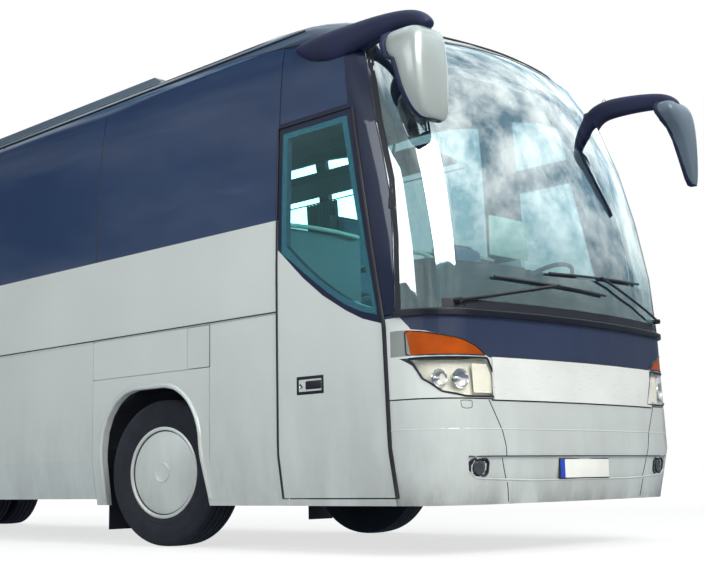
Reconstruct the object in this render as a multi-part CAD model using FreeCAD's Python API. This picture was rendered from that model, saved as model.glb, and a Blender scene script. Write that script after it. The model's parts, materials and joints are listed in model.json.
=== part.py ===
import FreeCAD, Part
import math
import os

# A two axle high deck touring coach. X runs across it with +X on the driver's side,
# the front faces -Y, Z is up, and the origin lies on the ground under the middle of the coach.
# All lengths are in millimetres.

# overall sizes
body_length = 12200.0
half_width = 1275.0
roof_height = 3555.0
skirt_height = 290.0
mirror_reach = 130.0
front_overhang = 2855.0
wheelbase = 6080.0
wall = 50.0
glass = 6.0
seat_gap = 0.3
panel_gap = 8.0
overrun = 60.0

nose_y = (mirror_reach - body_length) / 2
tail_y = nose_y + body_length
front_axle_y = nose_y + front_overhang
rear_axle_y = front_axle_y + wheelbase
body_rise = roof_height - skirt_height

# body form: each row is a plan section of the shell
nose_rake = 2000.0
tail_rake = 1200.0
nose_corner = 480.0
tail_corner = 220.0
nose_bow = 7300.0
tail_bow = 9000.0
# height, half width, nose set back, nose corner, nose bow and tail set back
section_shares = [
    (0.0, 0.961, 0.0275, 0.625, 1.0, 0.033),
    (0.101, 1.0, 0.0, 0.646, 1.0, 0.0),
    (0.34, 1.0, 0.0, 0.667, 0.712, 0.0),
    (0.463, 0.9985, 0.01, 0.6875, 0.625, 0.008),
    (0.585, 0.991, 0.04, 0.729, 0.548, 0.025),
    (0.707, 0.979, 0.0875, 0.771, 0.493, 0.054),
    (0.815, 0.963, 0.1475, 0.8125, 0.43, 0.092),
    (0.891, 0.945, 0.215, 0.875, 0.39, 0.142),
    (0.934, 0.924, 0.295, 0.94, 0.356, 0.208),
    (0.962, 0.886, 0.4, 1.0, 0.342, 0.308),
    (0.980, 0.8235, 0.545, 1.0, 0.342, 0.45),
    (0.992, 0.729, 0.74, 1.0, 0.342, 0.667),
    (1.0, 0.565, 1.0, 1.0, 0.342, 1.0),
]
roof_bend_share = 0.92
corner_chords = 5
bow_chords = 6
arc_chords = 5
curve_chords = 7
flatness = 0.00001
slope_limit_share = 1.6

# wheel arches
tyre_radius = 520.0
tyre_width = 295.0
arch_top = 1115.0
arch_half = 580.0
arch_flat = 170.0
arch_foot = 645.0
arch_waist = 700.0
well_clearance = 75.0
liner = 5.0
well_inner_x = 480.0

# top of the wheel well: parts of its half length outwards and down
liner_shares = [(0.72, 0.2), (0.3, 0.0)]
arch_lean_share = 0.2

# heights of the main lines
bumper_top = 896.0
nose_bar_low = 892.0
nose_bar_high = 1140.0
ledge_height = 1400.0
crease_height = 1510.0
belt_height = 2127.0
gutter_drop = 155.0
gutter_height = roof_height - gutter_drop

# places along the coach, each measured back from the front axle
door_rear = -1393.0
door_front_foot = -2370.0
door_front_waist = -2330.0
door_front_top = -2070.0
windscreen_top_drop = 80.0
flap_front = 708.0
arch_panel_front = -696.0
arch_line_height = 1219.0
tail_split = 440.0
droop_start = 600.0

gutter_droop = 270.0

# the front part of the gutter: share of the front overhang and of the whole droop
gutter_shares = [(0.0876, 0.03), (0.3468, 0.148), (0.4939, 0.296), (0.627, 0.519), (0.7321, 1.0)]

# share of the front overhang, and of the way from ledge to gutter
windscreen_edge_shares = [(0.851, 0.0), (0.848, 0.23), (0.834, 0.41), (0.802, 0.575),
                          (0.771, 0.745), (0.746, 0.855)]
windscreen_edge = [(-along * front_overhang, ledge_height + share * (gutter_height - ledge_height))
                   for along, share in windscreen_edge_shares]
windscreen_top = (-2330.0, gutter_height - windscreen_top_drop)

door_top_drop = 655.0
door_foot = 330.0
door_waist = 1340.0
door_top = gutter_height - door_top_drop
door_leaf = 45.0

# windows
first_pane = 700.0
pane_pitch = 1640.0
pane_tail_gap = 545.0
last_pane = tail_y - pane_tail_gap - front_axle_y
pane_count = max(1, round((last_pane - first_pane) / pane_pitch))
pane_splits = [door_rear] + [first_pane + index * pane_pitch for index in range(pane_count)] + [last_pane]
pillar = 60.0
first_pillar = 180.0
pane_droop_share = 0.289

# small pane over the door: share of the door's top edge and of the drop from the gutter to it
upper_pane_shares = [(0.012, 0.954), (0.948, 0.954), (0.86, 0.382), (0.586, 0.252), (0.012, 0.15)]
seam_half = 3.0
seam_depth = 8.0

# flaps along the luggage bays
arch_panel_half = 698.0
flap_count = 3
flap_pitch = (wheelbase - arch_panel_half - flap_front) / flap_count
flap_splits = [flap_front + index * flap_pitch for index in range(flap_count + 1)]
hinge_bead = 5.0
flap_thickness = 45.0
filler_back = -450.0

# lamp outlines in front view: share of the half width, and height as a share of the way from bumper to ledge
headlamp_shares = [(1.0, 0.47), (0.69, 0.474), (0.612, 0.026), (0.825, 0.024), (0.922, 0.077), (0.973, 0.224)]
turn_lamp_shares = [(1.008, 0.804), (0.929, 0.742), (0.833, 0.69), (0.75, 0.611), (0.695, 0.506), (1.0, 0.494)]

# fittings in the bumper's recess
recess_depth = 14.0
recess_reach = 1050.0
recess_low = 425.0
recess_high = 563.0
recess_shares = [(1.0, 1.0), (0.985, 0.4), (0.93, 0.12), (0.5, 0.0)]
fog_x = 955.0
fog_height = 502.0
fog_radius = 42.0
fog_rim = 8.0
fog_depth = 22.0
lamp_depth = 44.0
door_pane_edge = 42.0
door_sweep_high = 1900.0
door_sweep_low = 1411.0
door_sweep_shares = [(0.325, 0.589), (0.569, 0.299), (0.789, 0.1)]
hinge_bite = 3.0
tail_window_half = 1000.0
tail_window_rise = 123.0
tail_window_drop = 250.0
tail_window_low = belt_height + tail_window_rise
tail_window_high = gutter_height - tail_window_drop
engine_lid_half = 900.0
engine_lid_low = 720.0
engine_lid_high = 1760.0
lid_bead_half = 150.0
lid_pin_inset = 9.0
tail_lamp_inner = 990.0
tail_lamp_outer = 1160.0
tail_lamp_low = 900.0
tail_lamp_high = 1480.0

# running gear
tyre_sides = 32
wheel_sides = 32
small_sides = 12
bore_clearance = 0.6

# parts of the tyre's half width: at the bead, the shoulder and the tread, and the drop to the shoulder
bead_share = 0.71
shoulder_share = 0.9
tread_share = 0.81
crown_share = 0.13
bolt_ring = 60.0
kingpin_x = 900.0
kingpin_radius = 20.0
steer_at_rest = 10.0
front_track_half = 1045.0
twin_middle_x = 935.0
twin_half = 170.0
stub_radius = 45.0
drive_stub_radius = 60.0
rim_radius = 286.0
rim_wall = 10.0
rim_half = 112.0
flange_radius = 304.0
disc_thick = 14.0
hub_radius = 110.0
hub_reach = 70.0
cover_radius = flange_radius
cover_bulge = 26.0
cover_thick = 4.0
cover_rise_share = 0.8
cover_middle_share = 0.6
cap_share = 1.1
eye_radius = 40.0
eye_half_height = 55.0
eye_relief = 15.0
fork_thick = 25.0
shield_radius = 190.0
shield_thick = 8.0
housing_half = 240.0
beam_half_depth = 50.0
beam_height = 95.0
beam_drop = 95.0
spring_radius = 120.0
spring_sides = 12
spring_waist_share = 0.8
hub_inner_share = 1.5
beam_wall_share = 1.5
rail_x = 285.0
rail_half_width = 40.0
rail_low = 760.0
rail_high = 860.0
bracket_low = 500.0

# structure under the floor
floor_high = 1420.0
floor_thick = 60.0
sheet = 20.0
bay_half = 1185.0
bay_floor = 415.0
sill_low = 340.0
platform_high = 1050.0
platform_rear = -1250.0
stair_inner_x = -350.0
well_half = 650.0
engine_front = 1170.0
engine_tail_gap = 365.0
engine_half = 420.0
engine_low = 560.0
engine_high = 1290.0

flap_inner_x = 880.0
twin_flap_inner_x = 600.0
flap_outer_x = 1160.0
mudflap_thick = 8.0
mudflap_low = 110.0
mudflap_high = 560.0

aisle_half = 260.0
step_run = 280.0
rail_nose = -2200.0
twin_inner_x = 560.0
axle_way_half = 220.0

# inside the cabin
seat_pitch = 780.0
first_row = -900.0
rear_seat_gap = 900.0
seat_width = 450.0
seat_wall_gap = 30.0
cushion_low = 1780.0
cushion_high = 1880.0
cushion_depth = 560.0
back_top = 2600.0
back_thick = 100.0
back_lean = 150.0
leg_half = 35.0
knee_out_share = 1.2
knee_drop_share = 0.3
seat_space = tail_y - rear_seat_gap - front_axle_y - first_row - cushion_depth - back_lean
seat_rows = int(seat_space / seat_pitch) + 1

driver_x = 620.0
driver_front = -2010.0
driver_drop = 380.0
wheel_hoop = 225.0
wheel_tube = 16.0
spoke_share = 0.8
wheel_centre = (-2120.0, 1800.0)
column_lean = 30.0
column_length = 420.0
column_radius = 32.0
dash_front = -2640.0
dash_back = -2230.0
dash_high = 1740.0
dash_lip = 1620.0
dash_tuck = 150.0
rack_drop = 400.0
rack_rise = 120.0
rack_low = gutter_height - rack_drop
rack_high = rack_low + rack_rise
rack_depth = 420.0
rack_wall = 30.0
rack_slope_share = 50.0 / rack_rise
rack_inner_share = 80.0 / rack_rise

hoop_sides = 24

steering_ratio = 18.0

# door gear
post_x = -1150.0
post_y = -2200.0
post_radius = 20.0
arm_length = 500.0
arm_levels = [700.0, 1500.0]
arm_thick = 40.0
arm_half_width = 16.0
knee_out = 200.0
knee_ahead = 20.0
door_swing = 150.0

hatch_half = 380.0
hatch_length = 680.0
hatch_rise = 70.0
hatch_slope = 45.0
front_hatch_ahead = 780.0
rear_hatch_back = 2345.0
hatch_starts = [front_axle_y - front_hatch_ahead, tail_y - rear_hatch_back]
bar_proud = 12.0
ledge_proud = 25.0
ledge_thick = 22.0
nose_bar_half = 850.0
arm_radius = 45.0
arm_thin = 75.0
arm_offset_shares = [(1.0, 0.0), (0.8, 0.7), (0.1, 1.0), (0.0, 1.4)]

# pivot, blade start and blade end: share of the half width, and of the way from ledge to gutter
wiper_shares = [((-0.843, 0.032), (-0.622, 0.1125), (0.222, 0.099)),
                ((0.83, 0.0475), (-0.245, 0.1435), (0.621, 0.165))]
wiper_stand = 30.0
wiper_radius = 9.0
unit_front = 280.0
unit_back = 3100.0
unit_slope = 280.0
unit_nose_share = 2.5
unit_rise = 145.0
unit_high = roof_height + unit_rise
unit_half = 950.0
unit_edge = 90.0
head_half_width = 145.0
head_half_depth = 80.0
head_drop = 280.0
head_tall = 620.0
head_high = gutter_height - head_drop
head_low = head_high - head_tall

# outline of a mirror head: part of its half width at each level
head_shares = [(-1.0, "shoulder"), (-0.8, "top"), (0.8, "top"), (1.0, "shoulder"),
               (0.8, "waist"), (0.4, "foot"), (-0.4, "foot"), (-0.7, "waist")]

chain_links = 4

# mirror arms from root to tip: share of the front overhang, and of the drop below the gutter line
arm_drop = 340.0
right_arm_shares = [(0.5464, 0.647), (0.6655, 0.294), (0.8862, 0.471), (0.9247, 1.0)]
left_arm_shares = [(0.732, 0.941), (0.8056, 0.5), (0.977, 0.529), (1.0088, 0.941)]
right_arm_x = 1205.0
left_arm_x = 1255.0
right_head_y = -2610.0
left_head_y = -2870.0
left_head_x = 1330.0


def unit(vector):
    return FreeCAD.Vector(vector).normalize()


def mirrored(shape):
    return shape.mirror(FreeCAD.Vector(0, 0, 0), FreeCAD.Vector(1, 0, 0))


def flipped(point):
    return FreeCAD.Vector(-point.x, point.y, point.z)


def corner_arc(height, half, end_y, inward, corner, bow):
    """Side tangent point, arc middle and bow tangent point of one rounded corner at -X."""
    drop = math.sqrt((bow - corner) ** 2 - (half - corner) ** 2)
    bow_centre = FreeCAD.Vector(0, end_y + inward * bow, height)
    centre = FreeCAD.Vector(corner - half, end_y + inward * (bow - drop), height)
    towards = unit(centre - bow_centre)
    middle = unit(towards + FreeCAD.Vector(-1, 0, 0))
    side = centre + FreeCAD.Vector(-corner, 0, 0)
    return side, centre + middle * corner, bow_centre + towards * bow


def bend(points, chords):
    """Points along an arc through three points, without the last one."""
    arc = Part.Arc(*points).toShape()
    return arc.discretize(chords + 1)[:-1]


def plan_section(height, half, front, back, plain):
    """Points round the plan outline; front and back each hold end y, corner radius and bow radius."""
    f_side, f_mid, f_end = corner_arc(height, half, front[0], 1, front[1], front[2])
    b_side, b_mid, b_end = corner_arc(height, half, back[0], -1, back[1], back[2])
    nose = FreeCAD.Vector(0, front[0], height)
    tail = FreeCAD.Vector(0, back[0], height)
    corner, bow = (2, 2) if plain else (corner_chords, bow_chords)
    spots = bend((f_side, f_mid, f_end), corner)
    spots += bend((f_end, nose, flipped(f_end)), bow)
    spots += bend((flipped(f_end), flipped(f_mid), flipped(f_side)), corner)
    spots.append(flipped(f_side))
    spots += bend((flipped(b_side), flipped(b_mid), flipped(b_end)), corner)
    spots += bend((flipped(b_end), tail, b_end), bow)
    spots += bend((b_end, b_mid, b_side), corner)
    spots.append(b_side)
    return spots


def flat_face(spots):
    return Part.Face(Part.makePolygon(spots + spots[:1]))


def strips(low, high):
    """Flat faces between two rings of points, a strip that twists being split in two."""
    faces = []
    for index in range(len(low)):
        after = (index + 1) % len(low)
        a, b, c, d = low[index], low[after], high[after], high[index]
        normal = (b - a).cross(d - a)
        twist = abs((c - a).dot(normal)) / normal.Length
        if twist < flatness:
            faces.append(flat_face([a, b, c, d]))
        else:
            faces.append(flat_face([a, b, c]))
            faces.append(flat_face([a, c, d]))
    return faces


def skinned(rings):
    """Solid through rings of points, closed by flat ends."""
    faces = [flat_face(rings[0]), flat_face(rings[-1])]
    for low, high in zip(rings, rings[1:]):
        faces += strips(low, high)
    solid = Part.Solid(Part.Shell(faces))
    return solid if solid.Volume > 0 else solid.reversed()


def section_row(index):
    rise, width, setback, corner, bow, tail_back = section_shares[index]
    return (skirt_height + rise * body_rise, width * half_width, setback * nose_rake,
            corner * nose_corner, bow * nose_bow, tail_back * tail_rake)


def body_shell(inset, plain=False):
    """The coach's outer form, moved inwards by inset all round."""
    last = len(section_shares) - 1
    rings = []
    for index in range(last + 1):
        height, half, setback, corner, bow, tail_back = section_row(index)
        low = section_row(max(index - 1, 0))
        high = section_row(min(index + 1, last))
        climb = high[0] - low[0]
        narrowing = math.hypot(climb, high[1] - low[1])
        outward = climb / narrowing if height > roof_bend_share * roof_height else 1.0
        upward = (low[1] - high[1]) / narrowing if height > roof_bend_share * roof_height else 0.0
        if index == last:
            upward = 1.0
        if index == 0 and inset:
            height -= overrun
        nose_step = inset * min(math.hypot(1, (high[2] - low[2]) / climb), slope_limit_share)
        tail_step = inset * min(math.hypot(1, (high[5] - low[5]) / climb), slope_limit_share)
        front = (nose_y + setback + nose_step, corner - inset, bow - inset)
        back = (tail_y - tail_back - tail_step, tail_corner - inset, tail_bow - inset)
        rings.append(plan_section(height - inset * upward, half - inset * outward, front, back, plain))
    return skinned(rings)


# drawing helpers

def box(x, y, z):
    """Block between two corners, each axis given as a low and high value."""
    low = FreeCAD.Vector(min(x), min(y), min(z))
    return Part.makeBox(abs(x[1] - x[0]), abs(y[1] - y[0]), abs(z[1] - z[0]), low)


def rod(start, end, radius):
    line = end - start
    return Part.makeCylinder(radius, line.Length, start, line)


def outline_face(stretches, place):
    """Face inside stretches of points: two make a line, three an arc, more a smooth curve."""
    spots = []
    for points in stretches:
        marks = [place(*point) for point in points]
        if len(marks) == 3:
            marks = Part.Arc(*marks).toShape().discretize(arc_chords + 1)
        elif len(marks) > 3:
            curve = Part.BSplineCurve()
            curve.interpolate(marks)
            marks = curve.toShape().discretize(curve_chords + 1)
        spots += marks[:-1]
    return flat_face(spots)


def closed(points):
    """Straight stretches round a list of corners."""
    return [(points[i], points[(i + 1) % len(points)]) for i in range(len(points))]


def side_prism(stretches, low, high):
    """Side view outline (y, z) carried along X from low to high."""
    face = outline_face(stretches, lambda y, z: FreeCAD.Vector(low, y, z))
    return face.extrude(FreeCAD.Vector(high - low, 0, 0))


def end_prism(stretches, low, high):
    """End view outline (x, z) carried along Y from low to high."""
    face = outline_face(stretches, lambda x, z: FreeCAD.Vector(x, low, z))
    return face.extrude(FreeCAD.Vector(0, high - low, 0))


def plan_prism(stretches, low, high):
    """Plan outline (x, y) carried along Z from low to high."""
    face = outline_face(stretches, lambda x, y: FreeCAD.Vector(x, y, low))
    return face.extrude(FreeCAD.Vector(0, 0, high - low))


def ring_of(height, radius, sides, place):
    turn = 2 * math.pi / sides
    return [place(height, radius * math.cos(turn * i), radius * math.sin(turn * i))
            for i in range(sides)]


def lathed(corners, sides, place):
    """Closed ring of flat strips, its section given as corners (distance along the axis, radius)."""
    rings = [ring_of(along, radius, sides, place) for along, radius in corners]
    faces = []
    for low, high in zip(rings, rings[1:] + rings[:1]):
        faces += strips(low, high)
    solid = Part.Solid(Part.Shell(faces))
    return solid if solid.Volume > 0 else solid.reversed()


def across_at(centre_y, centre_z):
    """Placing for lathed parts that turn about a line along X."""
    return lambda along, u, v: FreeCAD.Vector(along, centre_y + u, centre_z + v)


def strut(start, end, radius, sides=6):
    """Straight bar of even sided section."""
    line = end - start
    circle = Part.makeCircle(radius, start, line)
    spots = circle.discretize(sides + 1)[:-1]
    return flat_face(spots).extrude(line)


def joined(shapes):
    whole = shapes[0].multiFuse(shapes[1:]) if len(shapes) > 1 else shapes[0]
    return whole.removeSplitter()


def save(node, shapes):
    shapes = shapes if isinstance(shapes, list) else [shapes]
    solids = [solid for shape in shapes for solid in shape.Solids]
    Part.makeCompound(solids).exportStep("parts/" + node + ".step")


def arch_outline(centre, spread, foot):
    """Flattened arch round an axle, opened to below the skirt; spread widens it all round."""
    half = arch_half + spread
    top = arch_top + spread
    shoulder = (half - arch_flat) / 2
    bend_z = (top + arch_waist) / 2
    lean = (top - arch_waist) * arch_lean_share
    left = [(centre - half, arch_waist), (centre - arch_flat - shoulder - lean, bend_z + lean),
            (centre - arch_flat, top)]
    right = [(centre + arch_flat, top), (centre + arch_flat + shoulder + lean, bend_z + lean),
             (centre + half, arch_waist)]
    low_front = (centre - arch_foot - spread, foot)
    low_back = (centre + half, foot)
    return [(low_front, left[0]), left, (left[2], right[0]), right, (right[2], low_back),
            (low_back, low_front)]


def aft(distance):
    return front_axle_y + distance


def gutter_points(lower):
    """Points of the gutter line, from the back to the windscreen corner, lowered by lower."""
    points = [(aft(droop_start), gutter_height - lower)]
    return points + [(aft(-along * front_overhang), gutter_height - drop * gutter_droop - lower)
                     for along, drop in gutter_shares]


def windscreen_prism(shrink):
    """Region ahead of the windscreen's edge; shrink draws the edge in all round."""
    edge = [(aft(along) - shrink, height) for along, height in windscreen_edge]
    edge[0] = (edge[0][0], edge[0][1] + shrink)
    edge[-1] = (edge[-1][0], edge[-1][1] - shrink)
    top = (aft(windscreen_top[0]) - shrink, windscreen_top[1] - shrink)
    ahead = nose_y - overrun
    stretches = [edge, (edge[-1], top), (top, (ahead, top[1])), ((ahead, top[1]), (ahead, edge[0][1])),
                 ((ahead, edge[0][1]), edge[0])]
    return side_prism(stretches, -half_width - overrun, half_width + overrun)


def front_edge(height):
    """Place of the door's front edge at a height; the nose panels end there too."""
    foot, waist, top = (door_front_foot, door_foot), (door_front_waist, door_waist), (door_front_top, door_top)
    low, high = (foot, waist) if height < door_waist else (waist, top)
    share = (height - low[1]) / (high[1] - low[1])
    return aft(low[0] + share * (high[0] - low[0]))


def door_outline(shrink):
    low, high = door_foot + shrink, door_top - shrink
    rear = aft(door_rear) - shrink
    return closed([(front_edge(low) + shrink, low), (front_edge(door_waist) + shrink, door_waist),
                   (front_edge(high) + shrink, high), (rear, high), (rear, low)])


def doorway():
    """Opening for the door, run on ahead of the side panel below the windscreen."""
    low, ahead, rear = door_foot, aft(door_front_foot) - overrun, aft(door_rear)
    knee = ledge_height - panel_gap
    return closed([(ahead, low), (ahead, knee), (front_edge(ledge_height), knee),
                   (front_edge(door_top), door_top), (rear, door_top), (rear, low)])


def roof_region():
    """Everything above the gutter line and the windscreen's top edge."""
    gutter = gutter_points(0)
    top = (aft(windscreen_top[0]) + panel_gap, windscreen_top[1] + panel_gap)
    back = (tail_y + overrun, gutter_height)
    high = roof_height + overrun
    ahead = nose_y - overrun
    stretches = [(back, gutter[0]), gutter, (gutter[-1], top), (top, (ahead, top[1])),
                 ((ahead, top[1]), (ahead, high)), ((ahead, high), (back[0], high)),
                 ((back[0], high), back)]
    return side_prism(stretches, -half_width - overrun, half_width + overrun)


def side_region():
    """Right half behind the nose panels, below the gutter and ahead of the tail."""
    gutter = gutter_points(panel_gap / 2)
    edge = [(aft(along) + panel_gap, height) for along, height in windscreen_edge]
    low = skirt_height - overrun
    back_y = tail_y - tail_split
    foot, waist, knee = [(front_edge(height) + panel_gap, height) for height in (low, door_waist, ledge_height)]
    stretches = [((back_y, low), (back_y, gutter[0][1])), ((back_y, gutter[0][1]), gutter[0]), gutter,
                 (gutter[-1], edge[-1]), edge[::-1], (edge[0], knee), (knee, waist), (waist, foot),
                 (foot, (back_y, low))]
    return side_prism(stretches, -half_width - overrun, 0)


def pane_region(start, end, shrink):
    """Side view of one pane, up to the gutter line."""
    low = belt_height + shrink
    first, last = aft(start) + panel_gap / 2 + shrink, aft(end) - panel_gap / 2 - shrink
    if start >= droop_start:
        high = gutter_height - panel_gap - shrink
        return closed([(first, low), (last, low), (last, high), (first, high)])
    lower = panel_gap + shrink
    line = gutter_points(lower)[:3]
    line.append((first, gutter_height - lower - pane_droop_share * gutter_droop))
    return [((first, low), (last, low)), ((last, low), (last, line[0][1])),
            ((last, line[0][1]), line[0]), line, (line[-1], (first, low))]


def window_band(shells):
    """Side panes, each with its rebate and opening."""
    regions = []
    for index in range(len(pane_splits) - 1):
        start, end = pane_splits[index], pane_splits[index + 1]
        inset = first_pillar if index == 0 else 0
        regions.append([pane_region(start, end, 0), pane_region(start, end, -seat_gap),
                        pane_region(start + inset, end, pillar)])
    regions.append([upper_pane_region(grow) for grow in (0, -seat_gap, pillar)])
    return [one_pane(region, shells) for region in regions]


def one_pane(region, shells):
    """Pane, its rebate and the opening behind it, from three outlines."""
    outer, rebate, pane_back = shells
    pane, seat, hole = [side_prism(stretches, -half_width - overrun, 0) for stretches in region]
    return outer.common(pane).cut(pane_back), seat.cut(rebate), hole


def upper_pane_region(shrink):
    """Small fixed pane over the door; each side moves in by shrink."""
    points = [(aft(door_rear + along * (door_front_top - door_rear)), gutter_height - drop * door_top_drop)
              for along, drop in upper_pane_shares]
    centre = [sum(point[axis] for point in points) / len(points) for axis in (0, 1)]
    return closed([tuple(point[axis] + shrink * math.copysign(1, centre[axis] - point[axis]) for axis in (0, 1))
                   for point in points])


def flap_region(start, end, shrink):
    """Side view of a luggage flap."""
    return closed([(aft(start) + shrink, door_foot + shrink),
                   (aft(end) - shrink, door_foot + shrink),
                   (aft(end) - shrink, crease_height - hinge_bead),
                   (aft(start) + shrink, crease_height - hinge_bead)])


def hinge_line(start, end, radius):
    """Bead on which a top hung flap turns, along the crease line of the right side."""
    return rod(FreeCAD.Vector(-half_width, aft(start), crease_height),
               FreeCAD.Vector(-half_width, aft(end), crease_height), radius)


def luggage_flaps(outer, flap_back):
    flaps = []
    for index in range(len(flap_splits) - 1):
        start, end = flap_splits[index], flap_splits[index + 1]
        region = side_prism(flap_region(start, end, panel_gap / 2), -half_width - overrun, 0)
        flap = outer.common(region).cut(flap_back)
        flaps.append(flap.cut(hinge_line(start, end, hinge_bead + seat_gap)))
    return flaps


def build_body():
    outer = body_shell(0)
    inner = body_shell(wall, True)
    rebate = body_shell(glass + seat_gap)
    pane_back = body_shell(glass)
    leaf_back = body_shell(door_leaf, True)
    skin = outer.cut(inner)
    build_sides(outer, rebate, pane_back, leaf_back, skin)
    build_door(outer, rebate, pane_back, leaf_back)
    build_nose(outer, pane_back, skin)
    build_tail(outer, rebate, pane_back, leaf_back, skin)
    inside = body_shell(wall + seat_gap, True)
    build_floor(inside)
    build_bays()
    build_frame(inside)
    build_engine()
    build_liners(inside)
    build_seats()
    build_racks(inside)
    build_dashboard(inside)
    build_partitions(inside)
    build_trim(outer)
    build_mirrors()
    build_wipers()
    build_roof_unit()
    build_hatches()


def seam(start, end):
    """Groove in the outer face of the right side, along a level or upright line."""
    ys, zs = [sorted((start[axis], end[axis])) for axis in (0, 1)]
    return box((-half_width - overrun, -half_width + seam_depth), (ys[0] - seam_half, ys[1] + seam_half),
               (zs[0] - seam_half, zs[1] + seam_half))


def side_seams():
    """Joints between the fixed panels round both wheels."""
    rear_panel_front, rear_panel_back = rear_axle_y - arch_panel_half, rear_axle_y + arch_panel_half
    hatch_front, bay_front = aft(arch_panel_front), aft(flap_splits[0])
    low = skirt_height - overrun
    return [seam((aft(door_rear) + seam_half * 2, crease_height), (bay_front, crease_height)),
            seam((hatch_front, low), (hatch_front, crease_height)),
            seam((hatch_front, arch_line_height), (bay_front, arch_line_height)),
            seam((aft(flap_splits[-1]), crease_height), (tail_y - tail_split, crease_height)),
            seam((rear_panel_front + seam_half * 3, arch_line_height), (rear_panel_back, arch_line_height)),
            seam((rear_panel_back, low), (rear_panel_back, crease_height))]


def build_sides(outer, rebate, pane_back, leaf_back, skin):
    save("roof", skin.common(roof_region()))
    right = skin.common(side_region())
    for centre in (front_axle_y, rear_axle_y):
        right = right.cut(side_prism(arch_outline(centre, 0, skirt_height - overrun),
                                     -half_width - overrun, 0))
    ends = (aft(flap_splits[0]), aft(flap_splits[-1]))
    bay = closed([(ends[0], skirt_height - overrun), (ends[1], skirt_height - overrun),
                  (ends[1], crease_height + hinge_bite), (ends[0], crease_height + hinge_bite)])
    right = right.cut(side_prism(bay, -half_width - overrun, 0))
    shells = (outer, rebate, pane_back)
    band = window_band(shells)
    for pane, seat, hole in band:
        right = right.cut(seat).cut(hole)
    for groove in side_seams():
        right = right.cut(groove)
    beads = [strut(FreeCAD.Vector(-half_width, aft(flap_splits[i]) + panel_gap, crease_height),
                   FreeCAD.Vector(-half_width, aft(flap_splits[i + 1]) - panel_gap, crease_height),
                   hinge_bead, small_sides) for i in range(len(flap_splits) - 1)]
    right = joined([right] + beads)
    driver = one_pane([door_glass_outline(0), door_glass_outline(-seat_gap), door_glass_outline(door_pane_edge)],
                      shells)
    save("side_panel_left", mirrored(right.cut(driver[1]).cut(driver[2])))
    save("side_glass_right", [pane for pane, seat, hole in band])
    save("side_glass_left", [mirrored(pane) for pane, seat, hole in band + [driver]])
    right = right.cut(side_prism(doorway(), -half_width - overrun, 0))
    hatch_front = aft(arch_panel_front) + hinge_bite
    hatch = closed([(hatch_front, arch_line_height), (aft(filler_back), arch_line_height),
                    (aft(filler_back), crease_height), (hatch_front, crease_height)])
    right = right.cut(side_prism(hatch, -half_width - overrun, 0))
    pin = [FreeCAD.Vector(-half_width, aft(arch_panel_front), arch_line_height + panel_gap),
           FreeCAD.Vector(-half_width, aft(arch_panel_front), crease_height - panel_gap)]
    right = joined([right, strut(pin[0], pin[1], hinge_bead, small_sides)])
    save("side_panel_right", right)
    lid = closed([(aft(arch_panel_front) + hinge_bead, arch_line_height + panel_gap / 2),
                  (aft(filler_back) - panel_gap / 2, arch_line_height + panel_gap / 2),
                  (aft(filler_back) - panel_gap / 2, crease_height - panel_gap / 2),
                  (aft(arch_panel_front) + hinge_bead, crease_height - panel_gap / 2)])
    lid = outer.common(side_prism(lid, -half_width - overrun, 0)).cut(leaf_back)
    save("filler_flap", lid.cut(rod(pin[0] - FreeCAD.Vector(0, 0, overrun), pin[1] + FreeCAD.Vector(0, 0, overrun),
                                    hinge_bead + seat_gap)))
    for index, flap in enumerate(luggage_flaps(outer, leaf_back)):
        save("luggage_flap_right_%d" % (index + 1), flap)
        save("luggage_flap_left_%d" % (index + 1), mirrored(flap))


def door_glass_outline(shrink):
    """Pane of the entry door, with the long sweep along its lower edge."""
    back, front = aft(door_rear) - door_pane_edge, aft(door_front_waist) + door_pane_edge
    rear, front_low = back - shrink, front + shrink
    top = door_top - door_pane_edge - shrink
    sweep = [(back + along * (front - back), door_sweep_low + rise * (door_sweep_high - door_sweep_low) + shrink)
             for along, rise in door_sweep_shares]
    sweep = [(rear, door_sweep_high + shrink)] + sweep + [(front_low, door_sweep_low + shrink)]
    front_top = (aft(door_front_top) + door_pane_edge + shrink, top)
    return [sweep, (sweep[-1], front_top), (front_top, (rear, top)), ((rear, top), sweep[0])]


def build_door(outer, rebate, pane_back, leaf_back):
    leaf = outer.common(side_prism(door_outline(panel_gap), -half_width - overrun, 0)).cut(leaf_back)
    region = side_prism(door_glass_outline(0), -half_width - overrun, 0)
    pane = outer.common(region).cut(pane_back)
    leaf = leaf.cut(side_prism(door_glass_outline(-seat_gap), -half_width - overrun, 0).cut(rebate))
    leaf = leaf.cut(side_prism(door_glass_outline(door_pane_edge), -half_width - overrun, 0))
    save("front_door", joined([leaf] + door_brackets()))
    save("front_door_glass", pane)


def nose_region(low, high):
    heights = [low, door_waist, high] if low < door_waist < high else [low, high]
    ahead = nose_y - overrun
    edge = [(front_edge(height), height) for height in heights]
    outline = closed([(ahead, low)] + edge + [(ahead, high)])
    return side_prism(outline, -half_width - overrun, half_width + overrun)


def lamp_prism(shares):
    """Lamp outline in front view, on both sides, carried back to the corner."""
    rise = ledge_height - bumper_top
    points = [(-along * half_width, bumper_top + up * rise) for along, up in shares]
    one = end_prism(closed(points), nose_y - overrun, aft(door_front_foot) - panel_gap * 2)
    return [one, mirrored(one)]


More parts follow.
